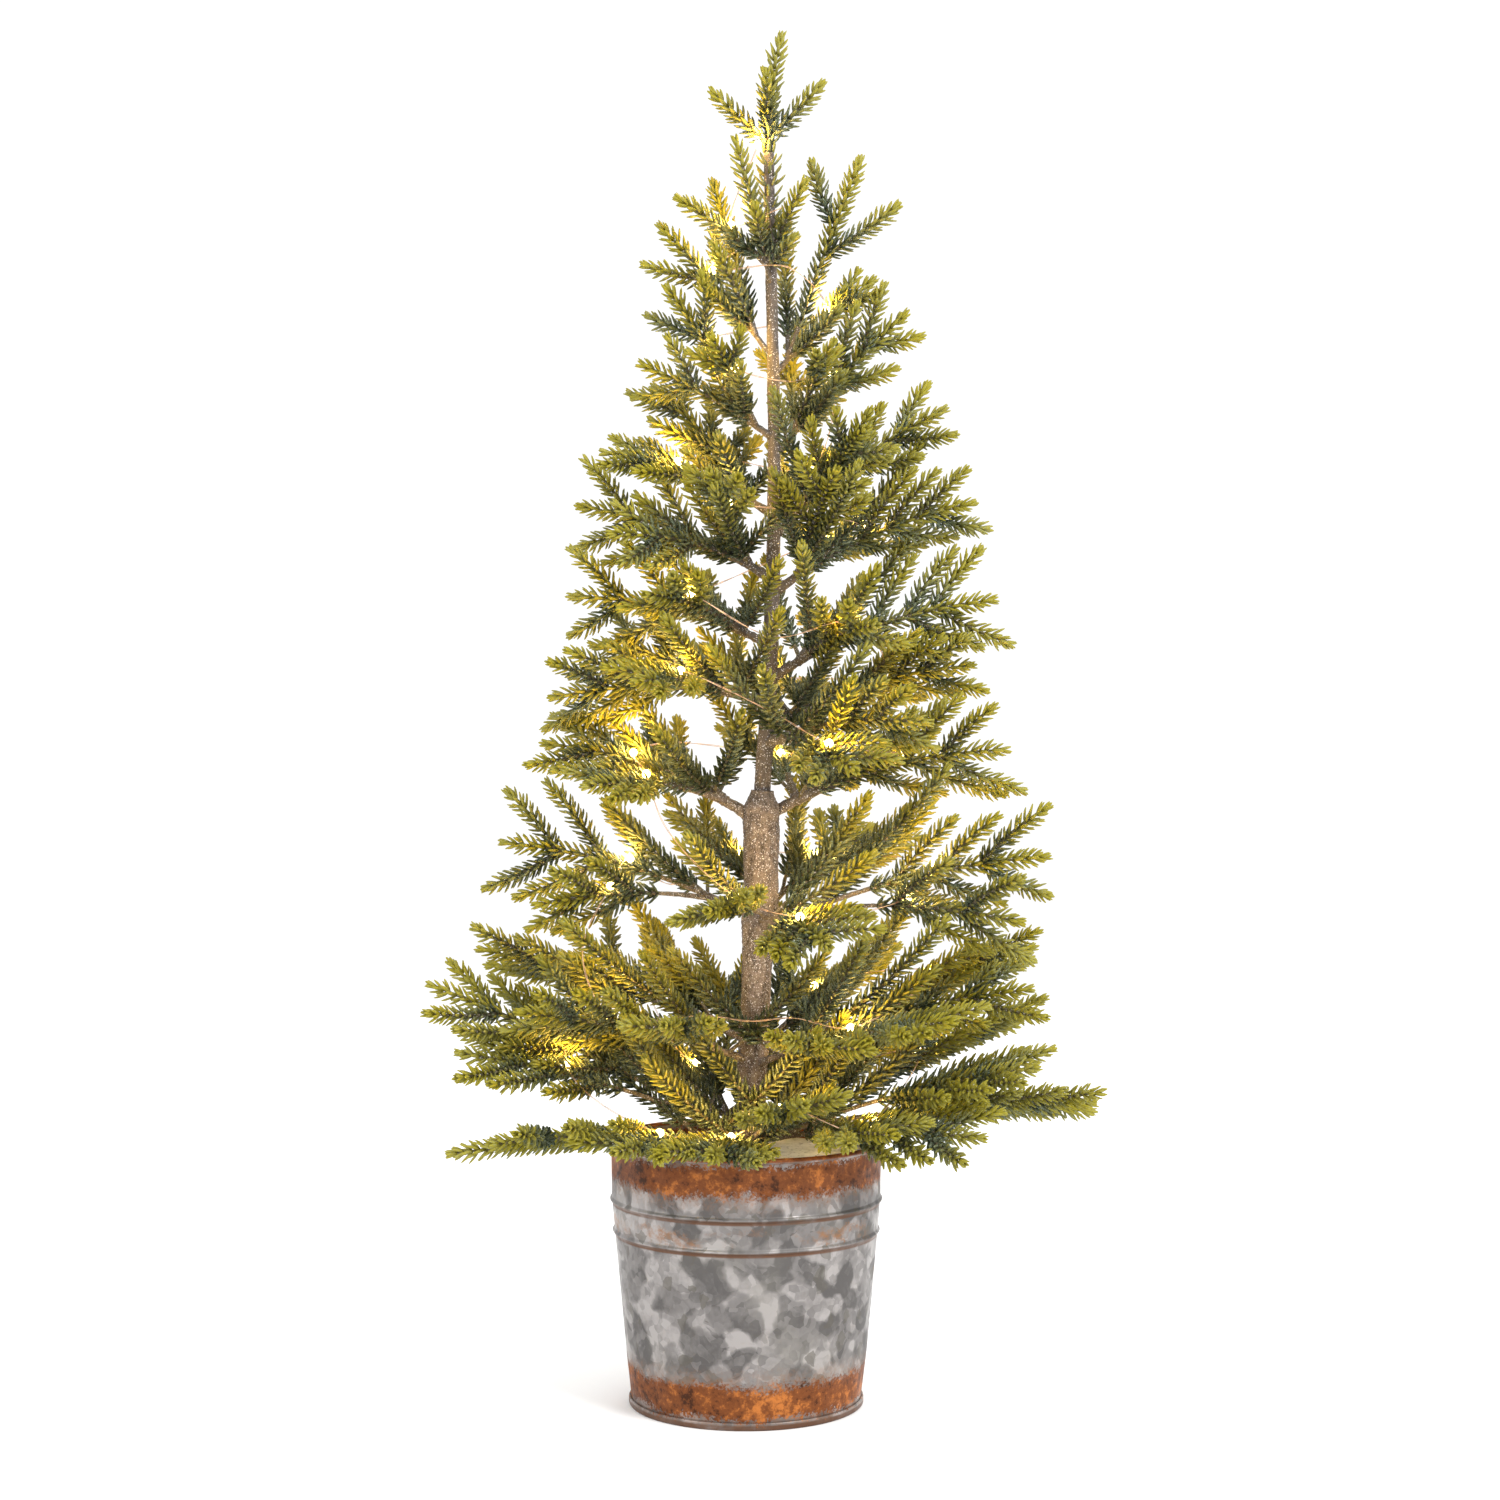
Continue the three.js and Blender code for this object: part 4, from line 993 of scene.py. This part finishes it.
def grow_needles(builder, line, start, random, outward, core=0.0, pitch=0.0):
    """Whorls of needles along a line from a share of its length to its end, closing into a bud at the tip.

    Core is the radius that they stand on, where it isn't a thin twig, and pitch is their spacing, where it
    isn't the usual one.
    """
    look = settings().needles
    template, faces = needle_template()
    whorls = max(3, round(line.length * (1 - start) / (pitch or look.pitch)))
    whorl = np.repeat(np.arange(whorls + 1), look.whorl)
    place = np.tile(np.arange(look.whorl), whorls + 1)
    count = len(whorl)
    shares = start + (1 - start) * (whorl + random.uniform(-0.16, 0.16, count)) / whorls
    shares = np.clip(shares, start, 1)
    table = 60
    tangents = line.along(np.linspace(0, 1, table))
    side_table, across_table = turning_frames(tangents)
    slot_of = np.clip((shares * (table - 1)).astype(int), 0, table - 1)
    tangent, side, across = tangents[slot_of], side_table[slot_of], across_table[slot_of]
    turn = (place + 0.5 * (whorl % 2)) * 2 * math.pi / look.whorl + random.uniform(-0.16, 0.16, count)
    out = np.cos(turn)[:, None] * side + np.sin(turn)[:, None] * across
    to_end = (1 - shares) * line.length
    closing = np.clip(1 - to_end / (8.0 * MM), 0, 1)
    angle_base = np.radians(mix(54, 16, closing**1.2) + random.uniform(-5, 5, count))
    angle_tip = np.radians(mix(36, 12, closing) + random.uniform(-5, 5, count))
    length = look.length * mix(1.0, 0.8, closing) * random.uniform(0.88, 1.08, count)
    first = np.cos(angle_base)[:, None] * tangent + np.sin(angle_base)[:, None] * out
    last = np.cos(angle_tip)[:, None] * tangent + np.sin(angle_tip)[:, None] * out
    wide = np.cross(tangent, out)
    thick = np.cross(first, wide)
    base = line.at(shares) + out * (core or look.twig_radius * 0.4)
    u = template[:, 0]
    bend = u[None, :, None] * first[:, None] + 0.5 * (u**2)[None, :, None] * (last - first)[:, None]
    width = look.half_width * random.uniform(0.9, 1.1, count)
    breadth = template[None, :, 1, None] * wide[:, None] + template[None, :, 2, None] * thick[:, None]
    verts = base[:, None] + length[:, None, None] * bend + width[:, None, None] * breadth
    size = len(template)
    made = [tuple(i + k * size for i in face) for k in range(count) for face in faces]
    values = np.empty((count, size, 3))
    values[..., 0] = mix(outward[0], outward[1], (shares - start) / (1 - start))[:, None]
    values[..., 1] = u[None]
    values[..., 2] = random.uniform(0, 1, count)[:, None]
    builder.add(verts.reshape(-1, 3), made, values.reshape(-1, 3))


def add_bar(builder, line, radii, sides, step, wobble, seed, greens=(0.0, 1.0)):
    """A bark-covered bar. Greens say how far its wrapping has turned to the needles' colour at its ends."""
    count = max(4, int(line.length / step))
    shares = np.linspace(0, 1, count)
    values = np.zeros((count, 3))
    values[:, 0] = np.linspace(*greens, count)
    builder.add(*tube(line.at(shares), np.interp(shares, *zip(*radii)), sides, wobble, seed, values))


def root_radius(height):
    """A stem's radius at the trunk: stout at the top of the post and slim at the foot and the crown."""
    stout = smoothstep(height, 262, 306) - 0.5 * smoothstep(height, 320, 400)
    return (1.75 + 1.1 * stout - 0.9 * smoothstep(height, 430, 560)) * MM


def grow_spray(bark, needles, line, number, random, aged, start=0.04):
    """A twig with needles from end to end. Aged sets how far it is towards the outside of the tree, and so
    how much of the painted shade inside the tree its needles take.
    """
    radii = [(0, 1.1 * MM), (0.5, 0.9 * MM), (1, 0.4 * MM)]
    add_bar(bark, line, radii, 6, 2.4 * MM, 0.14, number, (0.5, 1.0))
    shift = random.uniform(-0.22, 0.22)
    grow_needles(needles, line, start, random, (aged[0] + shift, aged[1] + shift))


def grow_branch(number):
    """One branch: bark-covered stems and twigs, and all their needles."""
    stems = stem_lines(number)
    plans = BRANCHES[number - 1][1:]
    random = np.random.default_rng(100 + number)
    bark, needles = Builder(), Builder()
    root = joint_root(number)
    height = root[2] / MM
    inward = unit(trunk_at(trunk_line(), root[2]) - root)
    bare = mix(0.36, 0.16, smoothstep(height, 240, 400))
    for s, (stem, plan) in enumerate(zip(stems, plans)):
        points = stem.points
        if s == 0:
            points = np.vstack([points[0] + inward * 2.2 * MM - UP * 1.4 * MM, points])
        thick = root_radius(height) * (1.0 if s == 0 else 0.85)
        radii = [(0, thick * 1.25), (0.08, thick), (0.4, thick * 0.66), (0.75, 0.95 * MM), (1, 0.5 * MM)]
        add_bar(bark, Line(points), radii, 9, 1.6 * MM, 0.12, 10 * number + s)
        grow_needles(needles, stem, bare, random, (0.0, 1.05))
        for k, spray in enumerate(side_sprays(stem, plan[3], 8 * (number - 1) + s)):
            grow_spray(bark, needles, spray, 900 + 40 * number + k, random, (0.1, 1.05))
    for line, seed in twig_lines(number, stems[0]):
        grow_spray(bark, needles, line, 3000 + seed, random, (-0.1, 0.85), 0.16)
    body = f"branch_{number:02d}_body"
    finish_piece(bark.piece(f"branch_{number:02d}_twigs", bark_material()), body)
    green = needles.piece(f"branch_{number:02d}_needles", needle_material())
    finish_piece(green, body, [f"branch_{number:02d}"])


class SPRUCE_OT_branches(bpy.types.Operator):
    """Grows the branches with their needles"""

    bl_idname = "spruce.branches"
    bl_label = "Branches"

    def execute(self, context):
        for number in range(1, len(BRANCHES) + 1):
            grow_branch(number)
        return {"FINISHED"}


class SPRUCE_OT_crown(bpy.types.Operator):
    """Grows the sprays at the top of the tree"""

    bl_idname = "spruce.crown"
    bl_label = "Crown"

    def execute(self, context):
        random = np.random.default_rng(77)
        foot = trunk_at(trunk_line(), TRUNK_LINE[-1][2] * MM)
        leader = bezier(foot, np.array(CROWN_BEND) * MM, np.array(CROWN_TIP) * MM)
        lines = [leader]
        for k, (azimuth, reach, rise) in enumerate(CROWN):
            start = leader.at(0.1 + 0.05 * k)
            end = start + heading(azimuth) * reach * MM + UP * rise * MM
            lines.append(bezier(start, mix(start, end, 0.5) - UP * 2 * MM, end))
        bark, needles = Builder(), Builder()
        for k, line in enumerate(lines):
            wide = 2.5 if k == 0 else 1.0
            radii = [(0, wide * MM), (0.12, 0.7 * wide * MM), (0.5, 0.9 * MM), (1, 0.4 * MM)]
            add_bar(bark, line, radii, 7, 2 * MM, 0.14, 70 + k)
            grow_needles(needles, line, 0.06, random, (0.15, 1.0))
        below = Line([trunk_at(trunk_line(), height * MM) for height in np.linspace(600, LEADER_TOP, 12)])
        grow_needles(needles, below, 0.0, random, (0.35, 0.6), core=2.4 * MM, pitch=5.5 * MM)
        finish_piece(bark.piece("crown_twigs", bark_material()), TREE)
        finish_piece(needles.piece("crown_needles", needle_material()), TREE, ["crown_spray"])
        return {"FINISHED"}


# ---- Trunk ---------------------------------------------------------------------------------------

POST_TOP = 316
LEADER_TOP = 652


def post_radius(height):
    """The post's radius without its shoulder, in millimetres."""
    return mix(7.8, 9.2, smoothstep(height, 225, 252))


def leader_radius(height):
    """The leader's radius, in millimetres."""
    return mix(4.4, 2.6, (height - POST_TOP) / (LEADER_TOP - POST_TOP))


def rough_post(line, low, high, radius_at, sides, step, seed):
    """A stretch of trunk with lumps and a grainy surface."""
    heights = np.arange(low, high + step / 2, step)
    points = np.array([trunk_at(line, h * MM) for h in heights])
    radii = np.array([radius_at(h) for h in heights]) * MM
    verts, faces, _ = tube(points, radii, sides, 0.035, seed)
    angles = np.tile(np.arange(sides) * 2 * math.pi / sides, len(heights))
    tall = np.repeat(heights, sides)
    lump = 0.03 * np.sin(2 * angles + tall * 0.11) + 0.022 * np.sin(3 * angles - tall * 0.23)
    centre = np.repeat(points, sides, axis=0)
    body = len(centre)
    verts[:body] = centre + (verts[:body] - centre) * (1 + lump)[:, None]
    return verts, faces


class SPRUCE_OT_trunk(bpy.types.Operator):
    """Builds the thick post and the thin leader, both coated with bark"""

    bl_idname = "spruce.trunk"
    bl_label = "Trunk"

    def execute(self, context):
        line = trunk_line()

        def post(height):
            shoulder = 3.2 * smoothstep(height, POST_TOP - 7, POST_TOP + 3)
            return post_radius(height) - shoulder + 1.2 * smoothstep(height, 134, 128)

        lower = Builder()
        lower.add(*rough_post(line, 125, POST_TOP + 3, post, 40, 1.0, 5))
        finish_piece(lower.piece("trunk_bark", bark_material()), TREE, ["trunk_post"])
        upper = Builder()
        upper.add(*rough_post(line, POST_TOP - 4, LEADER_TOP, leader_radius, 24, 1.0, 6))
        finish_piece(upper.piece("leader_bark", bark_material()), TREE, ["leader_stem"])
        return {"FINISHED"}


# ---- Bucket and fill -----------------------------------------------------------------------------

BUCKET = {
    "sheet": 0.6,
    "wall": [(59.6, 1), (62.4, 24), (68.4, 88), (70.2, 109), (70.5, 133)],
    "lower_bead": 90.4,
    "upper_bead": 106.6,
    "bead_proud": 1.1,
    "bead_half_width": 1.9,
    "wall_top": 132,
    "rim_height": 136,
    "rim_radius": 1.6,
    "base_lip": 1.6,
    "base_seam": 4,
    "fill_top": 128,
}


def wall_radius(height):
    """The outside radius of the bucket's wall, in millimetres."""
    radii, heights = zip(*BUCKET["wall"])
    return float(np.interp(height, heights, radii))


def bead_swell(height):
    """How far the two rolled beads stand proud of the wall at a height."""
    swell = 0.0
    for middle in (BUCKET["lower_bead"], BUCKET["upper_bead"]):
        away = abs(height - middle) / BUCKET["bead_half_width"]
        if away < 1:
            swell += BUCKET["bead_proud"] * 0.5 * (1 + math.cos(math.pi * away))
    return swell


class SPRUCE_OT_bucket(bpy.types.Operator):
    """Builds the galvanised wall with its rolled rim, and the seamed base"""

    bl_idname = "spruce.bucket"
    bl_label = "Bucket"

    def execute(self, context):
        look = settings().bucket
        sheet, rim = BUCKET["sheet"], BUCKET["rim_radius"]
        heights = {float(h) for h in np.arange(1, BUCKET["wall_top"], 3.0)}
        for bead in ("lower_bead", "upper_bead"):
            heights |= {BUCKET[bead] + d for d in np.linspace(-2.4, 2.4, 17)}
        heights = sorted(heights | {float(BUCKET["wall_top"])})
        outside = [(wall_radius(h) + bead_swell(h), h) for h in heights]
        inside = [(r - sheet, h) for r, h in reversed(outside)]
        curl = (wall_radius(BUCKET["wall_top"]) - sheet + rim, BUCKET["rim_height"])
        profile = outside + arc(curl, rim - sheet, 178, -48, 12) + arc(curl, rim, -48, 180, 22) + inside
        verts, faces = turned(np.array(profile) * MM, look.segments, closed=True)
        angle = np.arctan2(verts[:, 1], verts[:, 0])
        dent = 0.22 * np.sin(3 * angle + 0.6) + 0.14 * np.sin(5 * angle + verts[:, 2] * 40)
        dent *= np.clip(verts[:, 2] / 0.03, 0, 1) * MM
        verts[:, 0] += dent * np.cos(angle)
        verts[:, 1] += dent * np.sin(angle)
        wall = Builder()
        wall.add(verts, faces)
        finish_piece(wall.piece("bucket_wall", bucket_material()), TREE, ["bucket_shell"])

        foot = BUCKET["wall"][0][0]
        lip = foot + BUCKET["base_lip"]
        seam = BUCKET["base_seam"]
        base = [(0.0, 0.0), (lip - 1.2, 0.0)]
        base += arc((lip - 1.0, 1.0), 1.0, -80, 0, 6) + arc((lip - 0.7, seam - 0.7), 0.7, 0, 150, 8)
        base += [(foot + 0.45, seam - 0.9), (foot + 0.4, 0.7), (0.0, 0.7)]
        bottom = Builder()
        bottom.add(*turned(np.array(base) * MM, look.segments))
        seat = bottom.piece("bucket_bottom", bucket_material())
        finish_piece(seat, TREE, ["bucket_base"])
        return {"FINISHED"}


class SPRUCE_OT_fill(bpy.types.Operator):
    """Pours the plaster round the trunk"""

    bl_idname = "spruce.fill"
    bl_label = "Fill"

    def execute(self, context):
        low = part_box("cement_fill")[0][2] / MM
        top = BUCKET["fill_top"]
        inner = wall_radius(top) - BUCKET["sheet"] - 0.4
        rings = [inner, inner - 1.5] + list(np.linspace(inner - 6, 9, 14))
        profile = [(0.0, low), (wall_radius(low) - 1.0, low), (inner, top - 1.0)]
        profile += [(r, top - (0.0 if k else 0.4)) for k, r in enumerate(rings)]
        profile += [(8.4, top + 0.5), (0.0, top + 0.6)]
        verts, faces = turned(np.array(profile) * MM, 96)
        above = verts[:, 2] > (top - 0.6) * MM
        x, y = verts[above, 0] / MM, verts[above, 1] / MM
        ripple = 0.35 * np.sin(0.16 * x + 1.3) * np.sin(0.19 * y) + 0.2 * np.sin(0.5 * x + 0.34 * y)
        verts[above, 2] += ripple * MM
        fill = Builder()
        fill.add(verts, faces)
        finish_piece(fill.piece("plaster", plaster_material()), TREE, ["cement_fill"])
        return {"FINISHED"}


# ---- Light string --------------------------------------------------------------------------------

STRING_STEPS = 24  # of the wire, between two places of its route
# Radii along a bead, in millimetres.
BEAD_SHAPE = [0.3, 1.2, 1.75, 2.0, 2.1, 2.1, 2.05, 1.9, 1.6, 1.1, 0.3]
GLOW_ABOVE = 3.2  # how far the glow is above its bead's middle


def place_of(place):
    """A place of the route in metres, and the body that it rides on."""
    if "at" in place:
        return np.array(place["at"]) * MM, TREE
    branch, stem_number, share = place["on"]
    stem = stem_lines(branch)[stem_number - 1]
    along = stem.along(share)
    up = np.cross(along, unit(np.cross(UP, along)))
    return stem.at(share) + up * STRING_REST * MM, f"branch_{branch:02d}_body"


def twin_wires(line, radius, turns_per_metre=120):
    """Two thin wires that run side by side and twist slowly round each other."""
    count = max(6, int(line.length / (1.6 * MM)))
    shares = np.linspace(0, 1, count)
    points = line.at(shares)
    side, across = turning_frames(line.along(shares))
    angle = shares * line.length * turns_per_metre
    apart = (np.cos(angle)[:, None] * side + np.sin(angle)[:, None] * across) * radius * 1.7
    return [points + apart, points - apart]


def bead_points(middle, along, length):
    """The points along a bead's axis."""
    shares = np.linspace(-0.5, 0.5, len(BEAD_SHAPE))
    return middle + shares[:, None] * length * along


def string_wires(whole, places):
    """The wires in halves. A half at one of the tree's own places rides on the tree; a half at a branch's
    light stays where it is and is not fastened to the branch.
    """
    look = settings().lights
    replaced = ["led_string"]
    middle = STRING_STEPS // 2
    for k in range(len(places) - 1):
        span = whole.points[k * STRING_STEPS : (k + 1) * STRING_STEPS + 1]
        halves = [("a", span[: middle + 1], places[k]), ("b", span[middle:], places[k + 1])]
        for half, points, (at, body) in halves:
            wires = Builder()
            for strand in twin_wires(Line(points), look.wire_radius):
                wires.add(*tube(strand, look.wire_radius, 5)[:2])
            piece = wires.piece(f"string_wire_{k + 1:02d}_{half}", wire_material())
            if body == TREE:
                finish_piece(piece, TREE, replaced)
            else:
                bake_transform(piece)
            replaced = []


def hang_light(number, at, along, body):
    """A bead with its glow."""
    look = settings().lights
    bead = Builder()
    radii = np.array(BEAD_SHAPE) * MM
    bead.add(*tube(bead_points(at, along, look.bead_length), radii, 12)[:2])
    finish_piece(bead.piece(f"light_{number:02d}", lamp_material()), body)
    lamp = bpy.data.lights.new(f"glow_{number:02d}", "POINT")
    lamp.color = look.colour
    lamp.energy = look.glow
    lamp.shadow_soft_size = 3 * MM
    glow = bpy.data.objects.new(lamp.name, lamp)
    glow.location = Vector(at) + Vector((0, 0, GLOW_ABOVE * MM))
    bpy.context.scene.collection.objects.link(glow)
    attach(glow, body)


class SPRUCE_OT_lights(bpy.types.Operator):
    """Strings the lights over the branches"""

    bl_idname = "spruce.lights"
    bl_label = "Light string"

    def execute(self, context):
        places = [place_of(p) for p in ROUTE]
        whole = smooth_line([p for p, _ in places], STRING_STEPS)
        string_wires(whole, places)
        for k, (place, (at, body)) in enumerate(zip(ROUTE, places)):
            if place["lit"]:
                index = min(k * STRING_STEPS, len(whole.points) - 2)
                along = unit(whole.points[index + 1] - whole.points[index - 1])
                hang_light(k + 1, at, along, body)
        return {"FINISHED"}


# ---- Battery box and hidden pieces ---------------------------------------------------------------

# The cells and the foam keep the frame's own plain finishes.
STEEL_NODES = ["rim_wire", "trunk_core_rod", "contact_strip_left", "contact_strip_right", "switch_body"]


def softened(node, name, material, width, body):
    """A copy of a moulded frame piece with rounded edges, in its place."""
    source = frame["nodes"][node]
    mesh = source.data.copy()
    mesh.name = name
    made = bpy.data.objects.new(name, mesh)
    bpy.context.scene.collection.objects.link(made)
    made.matrix_world = source.matrix_world.copy()
    weld = made.modifiers.new("weld", "WELD")
    weld.merge_threshold = 0.01 * MM
    flat = made.modifiers.new("flat", "DECIMATE")
    flat.decimate_type = "DISSOLVE"
    flat.angle_limit = math.radians(1)
    bevel = made.modifiers.new("edges", "BEVEL")
    bevel.width = width
    bevel.segments = 2
    bevel.limit_method = "ANGLE"
    bevel.angle_limit = math.radians(35)
    bpy.context.view_layer.update()
    evaluated = made.evaluated_get(bpy.context.evaluated_depsgraph_get())
    final = bpy.data.meshes.new_from_object(evaluated)
    made.modifiers.clear()
    made.data = final
    final.materials.clear()
    final.materials.append(material)
    return finish_piece(made, body, [node])


class SPRUCE_OT_battery_box(bpy.types.Operator):
    """Finishes the battery box behind the bucket, its cover and switch, and the steel pieces"""

    bl_idname = "spruce.battery_box"
    bl_label = "Battery box"

    def execute(self, context):
        green, pale_green = (0.018, 0.040, 0.022), (0.024, 0.052, 0.030)
        shell = plain_material("green_plastic", green, pale_green, 60, 0.45, bump=0.35)
        knob = plain_material("knob_plastic", (0.03, 0.03, 0.03), (0.045, 0.045, 0.045), 90, 0.4)
        softened("battery_case", "battery_box", shell, 0.5 * MM, TREE)
        softened("battery_cover", "battery_lid", shell, 0.35 * MM, "battery_cover_slide")
        softened("switch_knob", "switch_slider", knob, 0.4 * MM, "switch")
        steel = plain_material("spring_steel", (0.55, 0.56, 0.57), (0.7, 0.71, 0.72), 200, 0.3, 1.0)
        for node in STEEL_NODES:
            for slot in frame["nodes"][node].material_slots:
                slot.material = steel
        return {"FINISHED"}


# ---- Stage ---------------------------------------------------------------------------------------

CAMERA_AWAY = 1.33  # metres in front of the trunk
CAMERA_HEIGHT = 0.34
CAMERA_LENS = 61.06


def area_lamp(name, place, target, size, power):
    """A round soft light that faces its target."""
    lamp = bpy.data.lights.new(name, "AREA")
    lamp.shape = "DISK"
    lamp.size = size
    lamp.energy = power
    made = bpy.data.objects.new(name, lamp)
    made.location = place
    made.rotation_euler = (Vector(target) - Vector(place)).to_track_quat("-Z", "Y").to_euler()
    bpy.context.scene.collection.objects.link(made)
    return made


class SPRUCE_OT_stage(bpy.types.Operator):
    """Sets the pale floor, the soft lights and the camera"""

    bl_idname = "spruce.stage"
    bl_label = "Stage"

    def execute(self, context):
        scene = context.scene
        world = bpy.data.worlds.new("studio")
        scene.world = world
        world.use_nodes = True
        background = world.node_tree.nodes["Background"]
        background.inputs["Color"].default_value = (1, 1, 1, 1)
        background.inputs["Strength"].default_value = 1.08
        scene.view_settings.view_transform = "Standard"
        scene.view_settings.look = "None"
        floor_mesh = bpy.data.meshes.new("floor")
        reach = 6.0
        corners = [(x * reach, y * reach, 0) for x, y in ((-1, -1), (1, -1), (1, 1), (-1, 1))]
        floor_mesh.from_pydata(corners, [], [(0, 1, 2, 3)])
        floor = bpy.data.objects.new("floor", floor_mesh)
        scene.collection.objects.link(floor)
        n = Nodes("pale_floor")
        tone = n.noise(n.place(), 3, 2)
        n.set(Base_Color=n.blend(tone, (0.95, 0.95, 0.95), (0.96, 0.96, 0.96)))
        n.shader.inputs["Roughness"].default_value = 0.9
        n.shader.inputs["Specular IOR Level"].default_value = 0.1
        floor_mesh.materials.append(n.material)
        middle = (0, 0, 0.3)
        area_lamp("key", (1.25, -1.25, 1.45), middle, 0.8, 34)
        area_lamp("fill", (-1.3, -1.3, 1.0), middle, 0.8, 9)
        area_lamp("back", (0.3, 1.4, 1.6), middle, 0.9, 12)
        camera_data = bpy.data.cameras.new("camera")
        camera_data.lens = CAMERA_LENS
        camera_data.sensor_width = 36
        camera = bpy.data.objects.new("camera", camera_data)
        camera.location = (TRUNK_FOOT * MM, -CAMERA_AWAY, CAMERA_HEIGHT)
        camera.rotation_euler = (math.radians(90), 0, 0)
        scene.collection.objects.link(camera)
        scene.camera = camera
        return {"FINISHED"}


# ---- Panel and registration ----------------------------------------------------------------------

OPERATORS = [
    SPRUCE_OT_stage,
    SPRUCE_OT_bucket,
    SPRUCE_OT_fill,
    SPRUCE_OT_trunk,
    SPRUCE_OT_branches,
    SPRUCE_OT_crown,
    SPRUCE_OT_lights,
    SPRUCE_OT_battery_box,
]


class SPRUCE_PT_panel(bpy.types.Panel):
    """Lists the parts of the tree"""

    bl_idname = "SPRUCE_PT_panel"
    bl_label = "Spruce"
    bl_space_type = "VIEW_3D"
    bl_region_type = "UI"
    bl_category = "Spruce"

    def draw(self, context):
        for operator in OPERATORS:
            self.layout.operator(operator.bl_idname)


GROUPS = [
    SPRUCE_PG_needles,
    SPRUCE_PG_bark,
    SPRUCE_PG_bucket,
    SPRUCE_PG_lights,
    SPRUCE_PG_settings,
]


def register():
    for made in GROUPS + OPERATORS + [SPRUCE_PT_panel]:
        bpy.utils.register_class(made)
    bpy.types.Scene.spruce = PointerProperty(type=SPRUCE_PG_settings)


def unregister():
    del bpy.types.Scene.spruce
    for made in reversed(GROUPS + OPERATORS + [SPRUCE_PT_panel]):
        bpy.utils.unregister_class(made)


def main():
    register()
    for operator in OPERATORS:
        group, action = operator.bl_idname.split(".")
        getattr(getattr(bpy.ops, group), action)()


if __name__ == "__main__":
    main()
